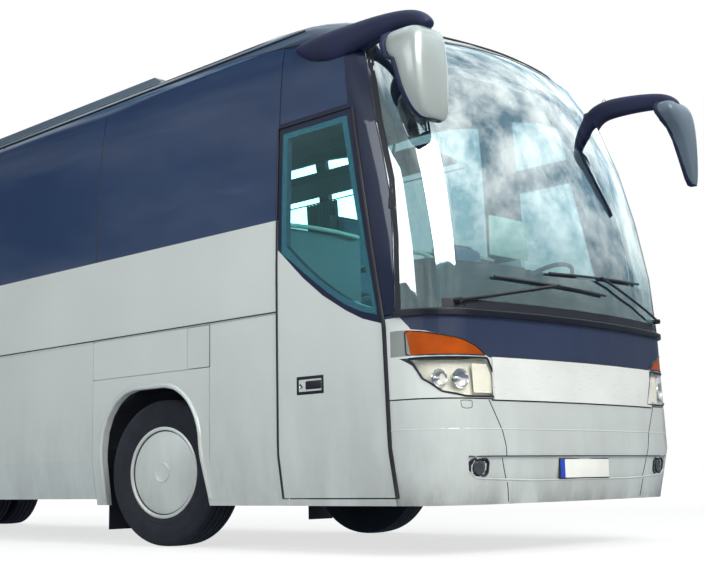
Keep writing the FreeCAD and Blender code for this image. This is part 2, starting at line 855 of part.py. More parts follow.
def build_nose(outer, pane_back, skin):
    panel = skin.common(nose_region(bumper_top + panel_gap / 2, ledge_height - panel_gap))
    lamps = lamp_prism(headlamp_shares) + lamp_prism(turn_lamp_shares)
    for lamp in lamps:
        panel = panel.cut(lamp)
    save("front_panel", panel)
    back = body_shell(lamp_depth, True)
    save("headlamps", [outer.common(lamp).cut(back) for lamp in lamps[:2]])
    save("turn_lamps", [outer.common(lamp).cut(back) for lamp in lamps[2:]])
    bumper = skin.common(nose_region(skirt_height - overrun, bumper_top - panel_gap / 2))
    build_bumper(outer, bumper)
    save("windscreen", outer.common(windscreen_prism(0)).cut(pane_back))


def build_bumper(outer, bumper):
    """Bumper with the shallow recess that holds plate and fog lamps, a pocket for each lamp."""
    ahead = (nose_y - overrun, aft(door_front_foot))
    tall = recess_high - recess_low
    side = [(recess_reach * along, recess_low + rise * tall) for along, rise in recess_shares]
    outline = [(-x, z) for x, z in side] + side[::-1]
    recess = end_prism(closed(outline), *ahead).cut(body_shell(recess_depth))
    floor = body_shell(recess_depth + fog_depth)
    bumper = bumper.cut(recess)
    lamps = []
    for side in (-1, 1):
        pocket = rod(FreeCAD.Vector(side * fog_x, ahead[0], fog_height),
                     FreeCAD.Vector(side * fog_x, ahead[1], fog_height), fog_radius + fog_rim)
        bumper = bumper.cut(pocket.cut(floor))
        lens = rod(FreeCAD.Vector(side * fog_x, ahead[0], fog_height),
                   FreeCAD.Vector(side * fog_x, ahead[1], fog_height), fog_radius)
        lamps.append(lens.common(body_shell(recess_depth)).cut(body_shell(recess_depth + fog_depth - seat_gap)))
    save("front_bumper", bumper)
    save("fog_lamps", lamps)


def build_tail(outer, rebate, pane_back, leaf_back, skin):
    start = tail_y - tail_split + panel_gap
    tail = skin.common(box((-half_width - overrun, half_width + overrun), (start, tail_y + overrun),
                           (skirt_height - overrun, gutter_height - panel_gap)))
    behind = (tail_y - tail_split, tail_y + overrun)

    def window(grow):
        return box((-tail_window_half - grow, tail_window_half + grow), behind,
                   (tail_window_low - grow, tail_window_high + grow))
    save("rear_window", outer.common(window(0)).cut(pane_back))
    tail = tail.cut(window(seat_gap).cut(rebate)).cut(window(-pillar))
    tail = tail.cut(box((-engine_lid_half, engine_lid_half), behind,
                        (engine_lid_low, engine_lid_high + hinge_bite)))
    pin = [FreeCAD.Vector(side * lid_bead_half, tail_y - lid_pin_inset, engine_lid_high) for side in (-1, 1)]
    tail = joined([tail, strut(pin[0], pin[1], hinge_bead, small_sides)])
    lamps = []
    for side in (-1, 1):
        region = box((side * tail_lamp_inner, side * tail_lamp_outer), behind,
                     (tail_lamp_low, tail_lamp_high))
        lamps.append(outer.common(region).cut(body_shell(lamp_depth, True)))
        tail = tail.cut(region)
    save("rear_panel", tail)
    save("tail_lamps", lamps)
    reach = engine_lid_half - panel_gap
    lid = outer.common(box((-reach, reach), behind,
                           (engine_lid_low + panel_gap, engine_lid_high - hinge_bead)))
    save("engine_lid", lid.cut(leaf_back).cut(rod(pin[0], pin[1], hinge_bead + seat_gap)))


def tyre(centre_x, centre_y):
    """Tyre of rounded section round an axle at hub height."""
    half = tyre_width / 2
    bead_half = half * bead_share
    shoulder_half = half * shoulder_share
    tread_half = half * tread_share
    shoulder = tyre_radius - half * crown_share
    bead_radius = rim_radius + seat_gap
    flank = (bead_radius + tyre_radius) / 2
    corners = [(-bead_half, bead_radius), (-half, flank), (-shoulder_half, shoulder),
               (-tread_half, tyre_radius), (tread_half, tyre_radius), (shoulder_half, shoulder),
               (half, flank), (bead_half, bead_radius)]
    return lathed([(centre_x + x, r) for x, r in corners], tyre_sides, across_at(centre_y, tyre_radius))


def front_wheel(centre_x, centre_y):
    """Rim, disc and hub of a single wheel, with its domed cover as a second solid."""
    bore = stub_radius + bore_clearance
    inner = rim_radius - rim_wall
    rim = [(disc_thick, bore), (-hub_reach, bore), (-hub_reach, hub_radius),
           (0, hub_radius), (0, inner), (-rim_half + rim_wall, inner), (-rim_half - rim_wall, flange_radius),
           (-rim_half, flange_radius), (-rim_half, rim_radius), (rim_half, rim_radius),
           (rim_half, flange_radius), (rim_half + rim_wall, flange_radius),
           (rim_half, inner), (disc_thick, inner)]
    edge = rim_half + rim_wall + seat_gap
    crown = edge + cover_bulge
    middle = (edge + cover_bulge * cover_rise_share, cover_radius * cover_middle_share)
    cover = [(edge, cover_radius), middle, (crown, bolt_ring), (crown - cover_thick, bolt_ring),
             (middle[0] - cover_thick, middle[1]), (edge, cover_radius - cover_thick)]
    place = across_at(centre_y, tyre_radius)
    cap = strut(FreeCAD.Vector(centre_x + edge + cover_bulge - cover_thick * 2, centre_y, tyre_radius),
                FreeCAD.Vector(centre_x + edge + cover_bulge + cover_thick, centre_y, tyre_radius),
                bolt_ring * cap_share, wheel_sides)
    wheel = lathed([(centre_x + x, r) for x, r in rim], wheel_sides, place)
    dome = lathed([(centre_x + x, r) for x, r in cover], wheel_sides, place)
    return [wheel, joined([dome, cap])]


def twin_wheel(centre_x, centre_y):
    """Two rims bolted back to back on one hub, seen from outside as a deep dish."""
    bore = drive_stub_radius + bore_clearance
    inner = rim_radius - rim_wall
    far = twin_half + rim_half
    hub_end = hub_reach * 2
    rim = [(hub_reach, bore), (hub_end, bore), (hub_end, hub_radius - rim_wall), (disc_thick, hub_radius),
           (disc_thick, inner), (far, inner), (far + rim_wall, flange_radius), (far, flange_radius),
           (far, rim_radius), (-far, rim_radius), (-far, flange_radius),
           (-far - rim_wall, flange_radius), (-far, inner), (-disc_thick, inner),
           (-disc_thick, hub_radius), (-hub_reach * hub_inner_share, hub_radius), (-hub_reach * hub_inner_share, bore)]
    return lathed([(centre_x + x, r) for x, r in rim], wheel_sides, across_at(centre_y, tyre_radius))


def knuckle(centre_y):
    """Forked knuckle on its kingpin, with the stub axle and the brake shield."""
    at = FreeCAD.Vector(kingpin_x, centre_y, tyre_radius)
    up = FreeCAD.Vector(0, 0, 1)
    low = at - up * (eye_half_height + fork_thick)
    high = at + up * (eye_half_height + fork_thick)
    web_x = kingpin_x + eye_radius + seat_gap * 4
    half = eye_half_height + fork_thick
    web = box((web_x, web_x + fork_thick), (centre_y - eye_radius, centre_y + eye_radius),
              (tyre_radius - half, tyre_radius + half))
    arms = []
    for side in (-1, 1):
        level = tyre_radius + side * (eye_half_height + seat_gap)
        end = tyre_radius + side * half
        arms.append(box((kingpin_x, web_x + fork_thick), (centre_y - eye_radius, centre_y + eye_radius),
                        (level, end)))
        arms.append(strut(FreeCAD.Vector(kingpin_x, centre_y, min(level, end)),
                          FreeCAD.Vector(kingpin_x, centre_y, max(level, end)), eye_radius, small_sides))
    stub_end = front_track_half + disc_thick - seat_gap
    stub = rod(FreeCAD.Vector(web_x, centre_y, tyre_radius),
               FreeCAD.Vector(stub_end, centre_y, tyre_radius), stub_radius)
    shield = strut(FreeCAD.Vector(web_x + fork_thick, centre_y, tyre_radius),
                   FreeCAD.Vector(web_x + fork_thick + shield_thick, centre_y, tyre_radius),
                   shield_radius, wheel_sides)
    return joined([rod(low, high, kingpin_radius), web, stub, shield] + arms)


def front_axle():
    """Dropped beam between the kingpin eyes, and the air springs that stand on it."""
    eye_low, eye_high = tyre_radius - eye_half_height, tyre_radius + eye_half_height
    beam_top = tyre_radius + beam_height / 2 - beam_drop / 2
    reach = kingpin_x - eye_radius / 2
    bend_x = kingpin_x - spring_radius
    near = kingpin_x - eye_radius - eye_relief
    half = [(bend_x, beam_top), (near, eye_high), (reach, eye_high), (reach, eye_low), (near, eye_low),
            (bend_x, beam_top - beam_height)]
    whole = [(-x, z) for x, z in half] + half[::-1]
    beam = end_prism(closed(whole), front_axle_y - beam_half_depth, front_axle_y + beam_half_depth)
    parts = [beam]
    for x in (-kingpin_x, kingpin_x):
        parts.append(strut(FreeCAD.Vector(x, front_axle_y, eye_low), FreeCAD.Vector(x, front_axle_y, eye_high),
                           eye_radius, small_sides))
    beam = joined(parts)
    for x in (-kingpin_x, kingpin_x):
        around = eye_radius + seat_gap * 4
        beam = beam.cut(rod(FreeCAD.Vector(x, front_axle_y, eye_low - fork_thick),
                            FreeCAD.Vector(x, front_axle_y, eye_high + fork_thick), kingpin_radius + seat_gap))
        outer_side = math.copysign(around, x)
        beam = beam.cut(box((x + outer_side, x + 2 * outer_side),
                            (front_axle_y - around * 2, front_axle_y + around * 2), (eye_low, eye_high)))
    springs = [air_spring(side * rail_x, front_axle_y, beam_top) for side in (-1, 1)]
    return [beam] + springs


def air_spring(x, y, low):
    """Two lobed bellows between a seat at height low and the rail above."""
    high = rail_low
    waist = spring_radius * spring_waist_share
    middle = (low + high) / 2
    quarter = (high - low) / 4
    rings = [(low, waist), (middle - quarter, spring_radius), (middle, waist),
             (middle + quarter, spring_radius), (high, waist)]
    return skinned([ring_of(level, radius, spring_sides, lambda z, u, v: FreeCAD.Vector(x + u, y + v, z))
                    for level, radius in rings])


def rear_axle():
    """Drive axle with its differential housing, stubs and air springs."""
    beam_radius = drive_stub_radius + rim_wall * beam_wall_share
    end = twin_middle_x - hub_reach * hub_inner_share - seat_gap
    stub_end = twin_middle_x + hub_reach - seat_gap
    centre = FreeCAD.Vector(0, rear_axle_y, tyre_radius)
    along = FreeCAD.Vector(1, 0, 0)
    parts = [strut(centre - along * end, centre + along * end, beam_radius, small_sides),
             rod(centre - along * stub_end, centre + along * stub_end, drive_stub_radius)]
    housing = skinned([ring_of(along, radius, small_sides, across_at(rear_axle_y, tyre_radius))
                       for along, radius in ((-housing_half, beam_radius), (-housing_half / 3, shield_radius),
                                             (housing_half / 3, shield_radius), (housing_half, beam_radius))])
    saddles = [box((side * rail_x - rail_half_width * 2, side * rail_x + rail_half_width * 2),
                   (rear_axle_y - beam_radius, rear_axle_y + beam_radius),
                   (tyre_radius, tyre_radius + beam_radius + rim_wall)) for side in (-1, 1)]
    axle = joined(parts + [housing] + saddles)
    springs = [air_spring(side * rail_x, rear_axle_y, tyre_radius + beam_radius + rim_wall)
               for side in (-1, 1)]
    return [axle] + springs


def steered(shape, side):
    turned = shape.copy()
    turned.rotate(FreeCAD.Vector(side * kingpin_x, front_axle_y, 0), FreeCAD.Vector(0, 0, 1), steer_at_rest)
    return turned


def build_running_gear():
    save("front_axle", front_axle())
    save("rear_axle", rear_axle())
    hub = knuckle(front_axle_y)
    single = front_wheel(front_track_half, front_axle_y)
    rubber = tyre(front_track_half, front_axle_y)
    pair = twin_wheel(twin_middle_x, rear_axle_y)
    rubbers = [tyre(twin_middle_x + side * twin_half, rear_axle_y) for side in (-1, 1)]
    for name, side in (("left", 1), ("right", -1)):
        place = (lambda shape: shape) if side > 0 else mirrored
        save("knuckle_" + name, steered(place(hub), side))
        save("wheel_front_" + name, [steered(place(shape), side) for shape in single])
        save("tyre_front_" + name, steered(place(rubber), side))
        save("wheel_rear_" + name, place(pair))
        save("tyres_rear_" + name, [place(shape) for shape in rubbers])


def wheel_liner(centre_y, inner_x, inside):
    """Arched well round a wheel, closed on its inner side; made for the right side."""
    def arch(grow):
        half, top = well_half + grow, arch_top + grow
        low = skirt_height + overrun / 2
        front = [(centre_y - half, low), (centre_y - half, arch_waist)]
        front += [(centre_y - half * out, top - half * down) for out, down in liner_shares]
        return closed(front + [(2 * centre_y - y, z) for y, z in reversed(front)])
    outer_x = -half_width + wall + seat_gap
    shell = side_prism(arch(liner), outer_x, -inner_x + liner)
    hollow = side_prism(arch(0), outer_x - overrun, -inner_x)
    cut = shell.cut(hollow)
    below = box((-half_width * 2, 0), (centre_y - well_half, centre_y + well_half),
                (skirt_height, skirt_height + overrun / 2 + liner))
    axle_way = box((-inner_x - liner, -inner_x + liner * 2), (centre_y - axle_way_half, centre_y + axle_way_half),
                   (skirt_height, rail_low))
    return cut.cut(below).cut(axle_way).common(inside)


def build_mudflaps():
    """Rubber flaps hung on the rear wall of each wheel well."""
    flaps = []
    for centre_y, inner_x in ((front_axle_y, flap_inner_x), (rear_axle_y, twin_flap_inner_x)):
        back = centre_y + well_half - seat_gap
        flaps.append(box((-flap_outer_x, -inner_x), (back - mudflap_thick, back), (mudflap_low, mudflap_high)))
    save("mudflaps", flaps + [mirrored(flap) for flap in flaps])


def build_floor(inside):
    """Passenger floor, driver's platform and entry steps."""
    deck = box((-half_width, half_width), (aft(platform_rear), tail_y),
               (floor_high - floor_thick, floor_high))
    platform = box((stair_inner_x, half_width), (nose_y, aft(platform_rear)),
                   (platform_high - floor_thick, platform_high))
    riser = box((stair_inner_x, half_width), (aft(platform_rear) - sheet, aft(platform_rear)),
                (platform_high, floor_high))
    rise = (floor_high - platform_high) / 2
    aisle_step = box((-aisle_half, aisle_half), (aft(platform_rear) - step_run, aft(platform_rear)),
                     (platform_high, platform_high + rise))
    first = door_foot + sheet
    step_rise = (platform_high - first) / 3
    outer_x = -half_width + wall + overrun
    step_depth = (stair_inner_x - outer_x) / 3
    front, back = aft(door_front_foot) + panel_gap, aft(door_rear)
    stairs = []
    for index in range(3):
        near = outer_x + index * step_depth
        level = first + index * step_rise
        stairs.append(box((near, near + step_depth + sheet), (front, back), (level - sheet, level)))
        stairs.append(box((near + step_depth, near + step_depth + sheet), (front, back),
                          (level, level + step_rise)))
    cheeks = [box((outer_x, stair_inner_x + sheet), (edge, edge + sheet), (first - sheet, platform_high))
              for edge in (front - sheet, back)]
    landing = box((outer_x, stair_inner_x + sheet), (back, aft(platform_rear)), (platform_high, floor_high))
    floor = joined([deck, platform, riser, aisle_step, landing] + stairs + cheeks).common(inside)
    save("floor_deck", floor)


def build_bays():
    """Floor and cross walls of the luggage bays."""
    bay_front, bay_back = aft(flap_splits[0]), aft(flap_splits[-1])
    floor_top = floor_high - floor_thick
    pieces = [box((-bay_half, bay_half), (bay_front, bay_back), (bay_floor - sheet, bay_floor))]
    for index, split in enumerate(flap_splits):
        start = aft(split) - sheet / 2
        start = bay_front if index == 0 else start
        start = bay_back - sheet if index == len(flap_splits) - 1 else start
        pieces.append(box((-bay_half, bay_half), (start, start + sheet), (bay_floor - sheet, floor_top)))
    save("luggage_bay", joined(pieces))


def build_frame(inside):
    """Rails, uprights and cross members under the floor."""
    frame = []
    bay_front, bay_back = aft(flap_splits[0]), aft(flap_splits[-1])
    floor_top = floor_high - floor_thick
    sill_high = bay_floor - sheet
    tube = rail_half_width * 2
    rail_front, rail_back = aft(rail_nose), rear_axle_y + engine_front - tube
    for side in (-1, 1):
        x = (side * rail_x - rail_half_width, side * rail_x + rail_half_width)
        frame.append(box(x, (rail_front, bay_front), (rail_low, rail_high)))
        frame.append(box(x, (bay_back, rail_back), (rail_low, rail_high)))
        frame.append(box(x, (bay_front - tube, bay_back + tube), (sill_low, sill_high)))
        frame.append(box(x, (bay_front - tube, bay_front), (sill_low, floor_top)))
        frame.append(box(x, (bay_back, bay_back + tube), (sill_low, floor_top)))
        frame.append(box(x, (rail_front, rail_front + tube), (rail_low, platform_high - floor_thick)))
        frame.append(box(x, (rail_back, rail_back + tube), (engine_low - tube, floor_top)))
        frame.append(box(x, (rail_back, tail_y - wall * 3), (engine_low - tube, engine_low)))
        frame.append(box(x, (nose_y, rail_front), (bracket_low, bracket_low + tube)))
        frame.append(box(x, (rail_front, rail_front + tube), (bracket_low, rail_low)))
    ends = [(rail_front, rail_low, rail_high), (bay_front - tube, rail_low, rail_high),
            (bay_front, sill_low, sill_high), (bay_back, rail_low, rail_high),
            (bay_back - tube, sill_low, sill_high), (rail_back, rail_low, rail_high),
            (rail_back, engine_low - tube, engine_low), (tail_y - wall * 3 - tube, engine_low - tube, engine_low)]
    for start, low, high in ends:
        reach = bay_half if low == sill_low else rail_x
        frame.append(box((-reach, reach), (start, start + tube), (low, high)))
    save("chassis_frame", joined(frame).common(inside))


def build_engine():
    """Plain block in place of the engine and gearbox."""
    save("engine_block", box((-engine_half, engine_half), (rear_axle_y + engine_front, tail_y - engine_tail_gap),
                             (engine_low, engine_high)))


def build_liners(inside):
    """Wheel wells over both axles."""
    liners = [wheel_liner(front_axle_y, well_inner_x, inside),
              wheel_liner(rear_axle_y, twin_inner_x, inside)]
    save("wheel_liners", liners + [mirrored(shape) for shape in liners])


def seat_outline(front, lift):
    """Side outline of a seat facing the nose, its front edge at front."""
    back = front + cushion_depth
    return closed([(front, cushion_low + lift), (front, cushion_high + lift),
                   (back - back_thick * knee_out_share, cushion_high + lift - back_thick * knee_drop_share),
                   (back + back_lean - back_thick, back_top + lift), (back + back_lean, back_top + lift),
                   (back + back_lean, back_top + lift - back_thick), (back, cushion_low + lift)])


def seat_pair(front, side):
    outer_x = half_width - wall - seat_wall_gap
    solids = [side_prism(seat_outline(front, 0), outer_x - 2 * seat_width, outer_x)]
    leg_x = outer_x - seat_width
    leg = box((leg_x - leg_half * 4, leg_x + leg_half * 4), (front + back_thick, front + cushion_depth - back_thick),
              (floor_high, cushion_low + leg_half))
    pair = joined(solids + [leg])
    return pair if side > 0 else mirrored(pair)


def steering_axis():
    lean = math.radians(column_lean)
    return FreeCAD.Vector(0, math.sin(lean), math.cos(lean))


def hoop_ring(hub, axis):
    """Steering wheel rim of hexagonal section, as flat strips round the axis."""
    across = FreeCAD.Vector(1, 0, 0)
    down = across.cross(axis)
    faces = []

    def spot(turn, roll):
        radius = wheel_hoop + wheel_tube * math.cos(roll)
        outward = across * math.cos(turn) + down * math.sin(turn)
        return hub + outward * radius + axis * wheel_tube * math.sin(roll)

    for index in range(hoop_sides):
        turns = [2 * math.pi * (index + step) / hoop_sides for step in (0, 1)]
        for facet in range(6):
            rolls = [math.pi * (facet + step) / 3 for step in (0, 1)]
            corners = [spot(turns[side], rolls[end]) for side, end in ((0, 0), (1, 0), (1, 1), (0, 1))]
            faces.append(Part.Face(Part.makePolygon(corners + corners[:1])))
    return Part.Solid(Part.Shell(faces))


def build_seats():
    """Pairs of passenger seats on both sides of the aisle, and the driver's seat."""
    rows = []
    for index in range(seat_rows):
        front = aft(first_row) + index * seat_pitch
        rows.append(seat_pair(front, 1))
        rows.append(seat_pair(front, -1))
    save("passenger_seats", rows)
    driver = side_prism(seat_outline(aft(driver_front), -driver_drop), driver_x - seat_width / 2,
                        driver_x + seat_width / 2)
    plinth = box((driver_x - leg_half * 4, driver_x + leg_half * 4),
                 (aft(driver_front) + back_thick, aft(driver_front) + cushion_depth - back_thick),
                 (platform_high, cushion_low - driver_drop + leg_half))
    save("driver_seat", joined([driver, plinth]))


def build_racks(inside):
    """Luggage racks over the seats."""
    edge = wall + rack_depth - half_width
    rack = end_prism(closed([(-half_width, rack_low), (edge, rack_low + rack_rise * rack_slope_share),
                             (edge, rack_high), (edge - sheet, rack_high),
                             (edge - sheet * 2, rack_low + rack_rise * rack_inner_share),
                             (-half_width, rack_low + rack_wall)]),
                     aft(first_row), tail_y - wall * 4).common(inside)
    save("luggage_racks", [rack, mirrored(rack)])


def build_dashboard(inside):
    """Dashboard with the steering column, and the steering wheel on it."""
    dash = side_prism(closed([(aft(dash_front), platform_high), (aft(dash_front), dash_high),
                              (aft(dash_back) - back_thick, dash_high), (aft(dash_back), dash_lip),
                              (aft(dash_back) - dash_tuck, platform_high)]),
                      stair_inner_x, half_width - wall * 2).common(inside)
    axis = steering_axis()
    hub = FreeCAD.Vector(driver_x, aft(wheel_centre[0]), wheel_centre[1])
    column = strut(hub - axis * column_length, hub - axis * (wheel_tube * 2 + seat_gap), column_radius, small_sides)
    save("dashboard", joined([dash, column]))
    hoop = hoop_ring(hub, axis)
    boss = rod(hub - axis * wheel_tube * 2, hub + axis * wheel_tube, column_radius * 2)
    across = FreeCAD.Vector(1, 0, 0)
    down = across.cross(axis)
    spokes = [strut(hub - across * wheel_hoop, hub + across * wheel_hoop, wheel_tube * spoke_share),
              strut(hub, hub + down * wheel_hoop, wheel_tube * spoke_share)]
    wheel = joined([hoop, boss] + spokes)
    wheel.rotate(hub, axis, steer_at_rest * steering_ratio)
    save("steering_wheel", wheel)


def build_partitions(inside):
    """Screens between the front row and the driver's platform."""
    screen = box((stair_inner_x - 5 * seat_gap - rack_depth * 2, stair_inner_x),
                 (aft(platform_rear), aft(platform_rear) + sheet), (floor_high, belt_height)).common(inside)
    save("partitions", [screen, mirrored(screen)])


def build_door_gear():
    """Upright post with two cranked arms, shown with the door shut, and the door's pivots."""
    foot = door_foot + sheet + seat_gap
    post = rod(FreeCAD.Vector(post_x, aft(post_y), foot),
               FreeCAD.Vector(post_x, aft(post_y), arm_levels[-1] + arm_thick), post_radius)
    reach = math.hypot(knee_out, knee_ahead)
    turn = math.atan2(knee_ahead, knee_out) - math.radians(door_swing)
    knee = (post_x - reach * math.cos(turn), aft(post_y) - reach * math.sin(turn))
    eye = (post_x, aft(post_y) + arm_length)
    arms = []
    for level in arm_levels:
        low, high = level, level + arm_thick
        for start, end in (((post_x, aft(post_y)), knee), (knee, eye)):
            length = math.hypot(end[0] - start[0], end[1] - start[1])
            ux, uy = (end[0] - start[0]) / length, (end[1] - start[1]) / length
            corners = [(start[0] + uy * arm_half_width, start[1] - ux * arm_half_width),
                       (end[0] + uy * arm_half_width, end[1] - ux * arm_half_width),
                       (end[0] - uy * arm_half_width, end[1] + ux * arm_half_width),
                       (start[0] - uy * arm_half_width, start[1] + ux * arm_half_width)]
            arms.append(plan_prism(closed(corners), low, high))
            arms.append(rod(FreeCAD.Vector(end[0], end[1], low), FreeCAD.Vector(end[0], end[1], high),
                            post_radius))
    save("front_door_arm", joined([post] + arms))


def door_brackets():
    """Lugs on the door leaf that lie on top of the arm eyes."""
    eye_y = aft(post_y) + arm_length
    lugs = []
    for level in arm_levels:
        low = level + arm_thick + seat_gap
        lugs.append(box((-half_width + door_leaf - sheet, post_x + post_radius),
                        (eye_y - post_radius, eye_y + post_radius), (low, low + arm_thick)))
    return lugs


# fittings outside
def build_trim(outer):
    """Nose bar, and the ledge under the windscreen."""
    proud = body_shell(-bar_proud)
    lip = body_shell(-ledge_proud)
    ahead = (nose_y - overrun, aft(door_front_foot) - panel_gap)
    bar = proud.cut(outer).common(box((-nose_bar_half, nose_bar_half), ahead,
                                      (nose_bar_low, nose_bar_high)))
    ledge = lip.cut(outer).common(box((-half_width * 2, half_width * 2), (ahead[0], aft(windscreen_edge[0][0])),
                                      (ledge_height - ledge_thick, ledge_height + ledge_thick / 2)))
    save("front_trim", [bar, ledge])


def build_mirrors():
    """Both mirror heads on their bowed arms."""
    right = mirror_arm(-1.0, right_arm_shares, right_arm_x)
    left = mirror_arm(1.0, left_arm_shares, left_arm_x)
    heads = [mirror_head(-right_arm_x, aft(right_head_y)), mirror_head(left_head_x, aft(left_head_y))]
    clear = body_shell(-seat_gap)
    save("mirror_arms", [right.cut(clear).cut(heads[0]), left.cut(clear).cut(heads[1])])
    save("mirror_heads", heads)


def build_wipers():
    """Two wipers that lie on the glass."""
    wipers = []
    clear = body_shell(-seat_gap)
    for marks in wiper_shares:
        pivot, start, end = [(across * half_width, ledge_height + rise * (gutter_height - ledge_height))
                             for across, rise in marks]
        middle = ((start[0] + end[0]) / 2, (start[1] + end[1]) / 2)
        stand = wiper_radius + panel_gap
        tip = -wiper_stand - wiper_radius
        pieces = [strut(nose_point(*pivot, tip), nose_point(*pivot, wiper_radius), wiper_radius * 2),
                  strut(nose_point(*middle, tip), nose_point(*middle, -stand), wiper_radius)]
        pieces += nose_chain(pivot, middle, wiper_stand) + nose_chain(start, end, stand)
        wipers.append(joined(pieces).cut(clear))
    save("wipers", wipers)


def build_roof_unit():
    """Low air conditioning unit with a long rounded nose."""
    low = roof_height - overrun
    foot, heel = (aft(unit_front), low), (aft(unit_back) + unit_slope, low)
    brow = (aft(unit_front) + unit_slope, unit_high - overrun / 2)
    crown, back = (aft(unit_front) + unit_slope * unit_nose_share, unit_high), (aft(unit_back), unit_high)
    side = side_prism([(foot, brow, crown), (crown, back), (back, heel), (heel, foot)], -unit_half, unit_half)
    left = [(-unit_half, low), (-unit_half + unit_edge, unit_high - unit_edge / 2),
            (-unit_half + unit_edge * 2, unit_high)]
    end = end_prism(closed(left + [(-x, z) for x, z in reversed(left)]),
                    aft(unit_front) - overrun, aft(unit_back) + unit_slope + overrun)
    save("air_conditioning_unit", side.common(end).cut(body_shell(-seat_gap)))


def build_hatches():
    """Two escape hatches on the roof."""
    hatches = []
    for start in hatch_starts:
        low, high = roof_height - overrun, roof_height + hatch_rise
        rings = [[FreeCAD.Vector(x, start + y, level) for x, y in
                  ((-hatch_half + inset, inset), (hatch_half - inset, inset),
                   (hatch_half - inset, hatch_length - inset), (-hatch_half + inset, hatch_length - inset))]
                 for level, inset in ((low, 0), (high - hatch_slope, 0), (high, hatch_slope))]
        hatches.append(skinned(rings).cut(body_shell(-seat_gap)))
    save("roof_hatches", hatches)


def nose_point(x, z, inset):
    """Point on the nose at (x, z), moved rearwards by inset."""
    for index in range(len(section_shares) - 1):
        low, high = section_row(index), section_row(index + 1)
        if low[0] <= z <= high[0]:
            share = (z - low[0]) / (high[0] - low[0])
            half, setback, corner, bow = [low[i] + share * (high[i] - low[i]) for i in range(1, 5)]
    drop = math.sqrt((bow - corner) ** 2 - (half - corner) ** 2)
    if abs(x) > (half - corner) * bow / (bow - corner):
        inward = math.sqrt(max(corner ** 2 - (abs(x) - half + corner) ** 2, 0))
        y = nose_y + setback + bow - drop - inward
    else:
        y = nose_y + setback + bow - math.sqrt(bow ** 2 - x ** 2)
    return FreeCAD.Vector(x, y + inset, z)


def nose_chain(start, end, stand):
    """Rod that follows the nose from one (x, z) mark to another, standing off it."""
    marks = []
    for index in range(chain_links + 1):
        share = index / chain_links
        x, z = [start[axis] + share * (end[axis] - start[axis]) for axis in (0, 1)]
        marks.append(nose_point(x, z, -stand))
    return [strut(low, high, wiper_radius) for low, high in zip(marks, marks[1:])]


def mirror_arm(side, shares, middle_x):
    """Bowed arm from the roof edge forwards and down into the mirror head."""
    marks = [(-along * front_overhang, gutter_height - drop * arm_drop) for along, drop in shares]
    root, rise, fall, tip = marks
    top = [(aft(y), z) for y, z in (root, rise, fall, tip)]
    under = [(aft(y) + arm_thin * back, z - arm_thin * drop)
             for (y, z), (back, drop) in zip((tip, fall, rise, root), arm_offset_shares)]
    stretches = [top, (top[-1], under[0]), under, (under[-1], top[0])]
    return side_prism(stretches, side * (middle_x - arm_radius), side * (middle_x + arm_radius))


def mirror_head(x, y):
    """Tapered mirror housing with rounded edges."""
    front, rear = y - head_half_depth, y + head_half_depth
    levels = {"top": head_high, "shoulder": head_high - overrun, "waist": head_low + overrun, "foot": head_low}
    outline = [(x + out * head_half_width, levels[level]) for out, level in head_shares]
    side = end_prism(closed(outline), front, rear)
    corners = [(x - head_half_width, rear), (x + head_half_width, rear)]
    bulge = plan_prism([corners, (corners[1], (x, front), corners[0])], head_low, head_high)
    return side.common(bulge)


def main():
    os.makedirs("parts", exist_ok=True)
    build_body()
    build_running_gear()
    build_mudflaps()
    build_door_gear()


main()
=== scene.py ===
import json
import math

import bmesh
import bpy
from mathutils import Matrix, Vector
from mathutils.bvhtree import BVHTree


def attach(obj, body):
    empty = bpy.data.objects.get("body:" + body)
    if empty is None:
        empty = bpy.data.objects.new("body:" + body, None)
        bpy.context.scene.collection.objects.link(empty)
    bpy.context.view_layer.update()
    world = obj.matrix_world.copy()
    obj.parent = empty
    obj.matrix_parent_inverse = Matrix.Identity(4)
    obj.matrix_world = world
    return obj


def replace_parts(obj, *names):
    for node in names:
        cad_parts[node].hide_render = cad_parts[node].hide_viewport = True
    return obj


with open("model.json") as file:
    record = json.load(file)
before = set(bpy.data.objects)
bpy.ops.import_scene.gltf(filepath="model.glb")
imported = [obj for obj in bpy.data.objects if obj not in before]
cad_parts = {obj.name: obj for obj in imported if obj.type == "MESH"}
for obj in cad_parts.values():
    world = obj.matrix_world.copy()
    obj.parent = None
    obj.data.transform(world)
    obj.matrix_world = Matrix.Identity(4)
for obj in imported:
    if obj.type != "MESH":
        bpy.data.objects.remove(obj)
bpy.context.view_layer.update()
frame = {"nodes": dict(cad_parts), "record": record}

bl_info = {
    "name": "Touring coach dressing",
    "version": (1, 0, 0),
    "blender": (4, 5, 0),
    "location": "View3D > Sidebar > Coach",
    "description": "Finishes and fittings for the packed touring coach",
    "category": "Object",
}

# places read from the frame's own joints, in metres
JOINTS = {joint["name"]: joint for joint in frame["record"]["behaviour"]["joints"]}
FRONT_AXLE_Y = JOINTS["steer_left"]["pos_m"][1]
REAR_AXLE_Y = JOINTS["rear_wheels_left_spin"]["pos_m"][1]
CREASE_HEIGHT = JOINTS["bay_flap_right_1_lift"]["pos_m"][2]
# lines of the body, in metres
BELT_HEIGHT = 2.127
LEDGE_HEIGHT = 1.400
FRONT_OVERHANG = 2.855
NOSE_CENTRE_Y = -4.6
# the camera as solved from the photo
CAMERA_PLACE = Vector((-6.5859, -10.5513, 0.4558))
CAMERA_AZIMUTH = math.radians(-45.1298)
CAMERA_ELEVATION = math.radians(8.9873)
CAMERA_ROLL = math.radians(-1.0815)
CAMERA_LENS = 63.76


def aft(distance):
    """Place along the coach, measured back from the front axle."""
    return FRONT_AXLE_Y + distance


# ---------------------------------------------------------------- user settings

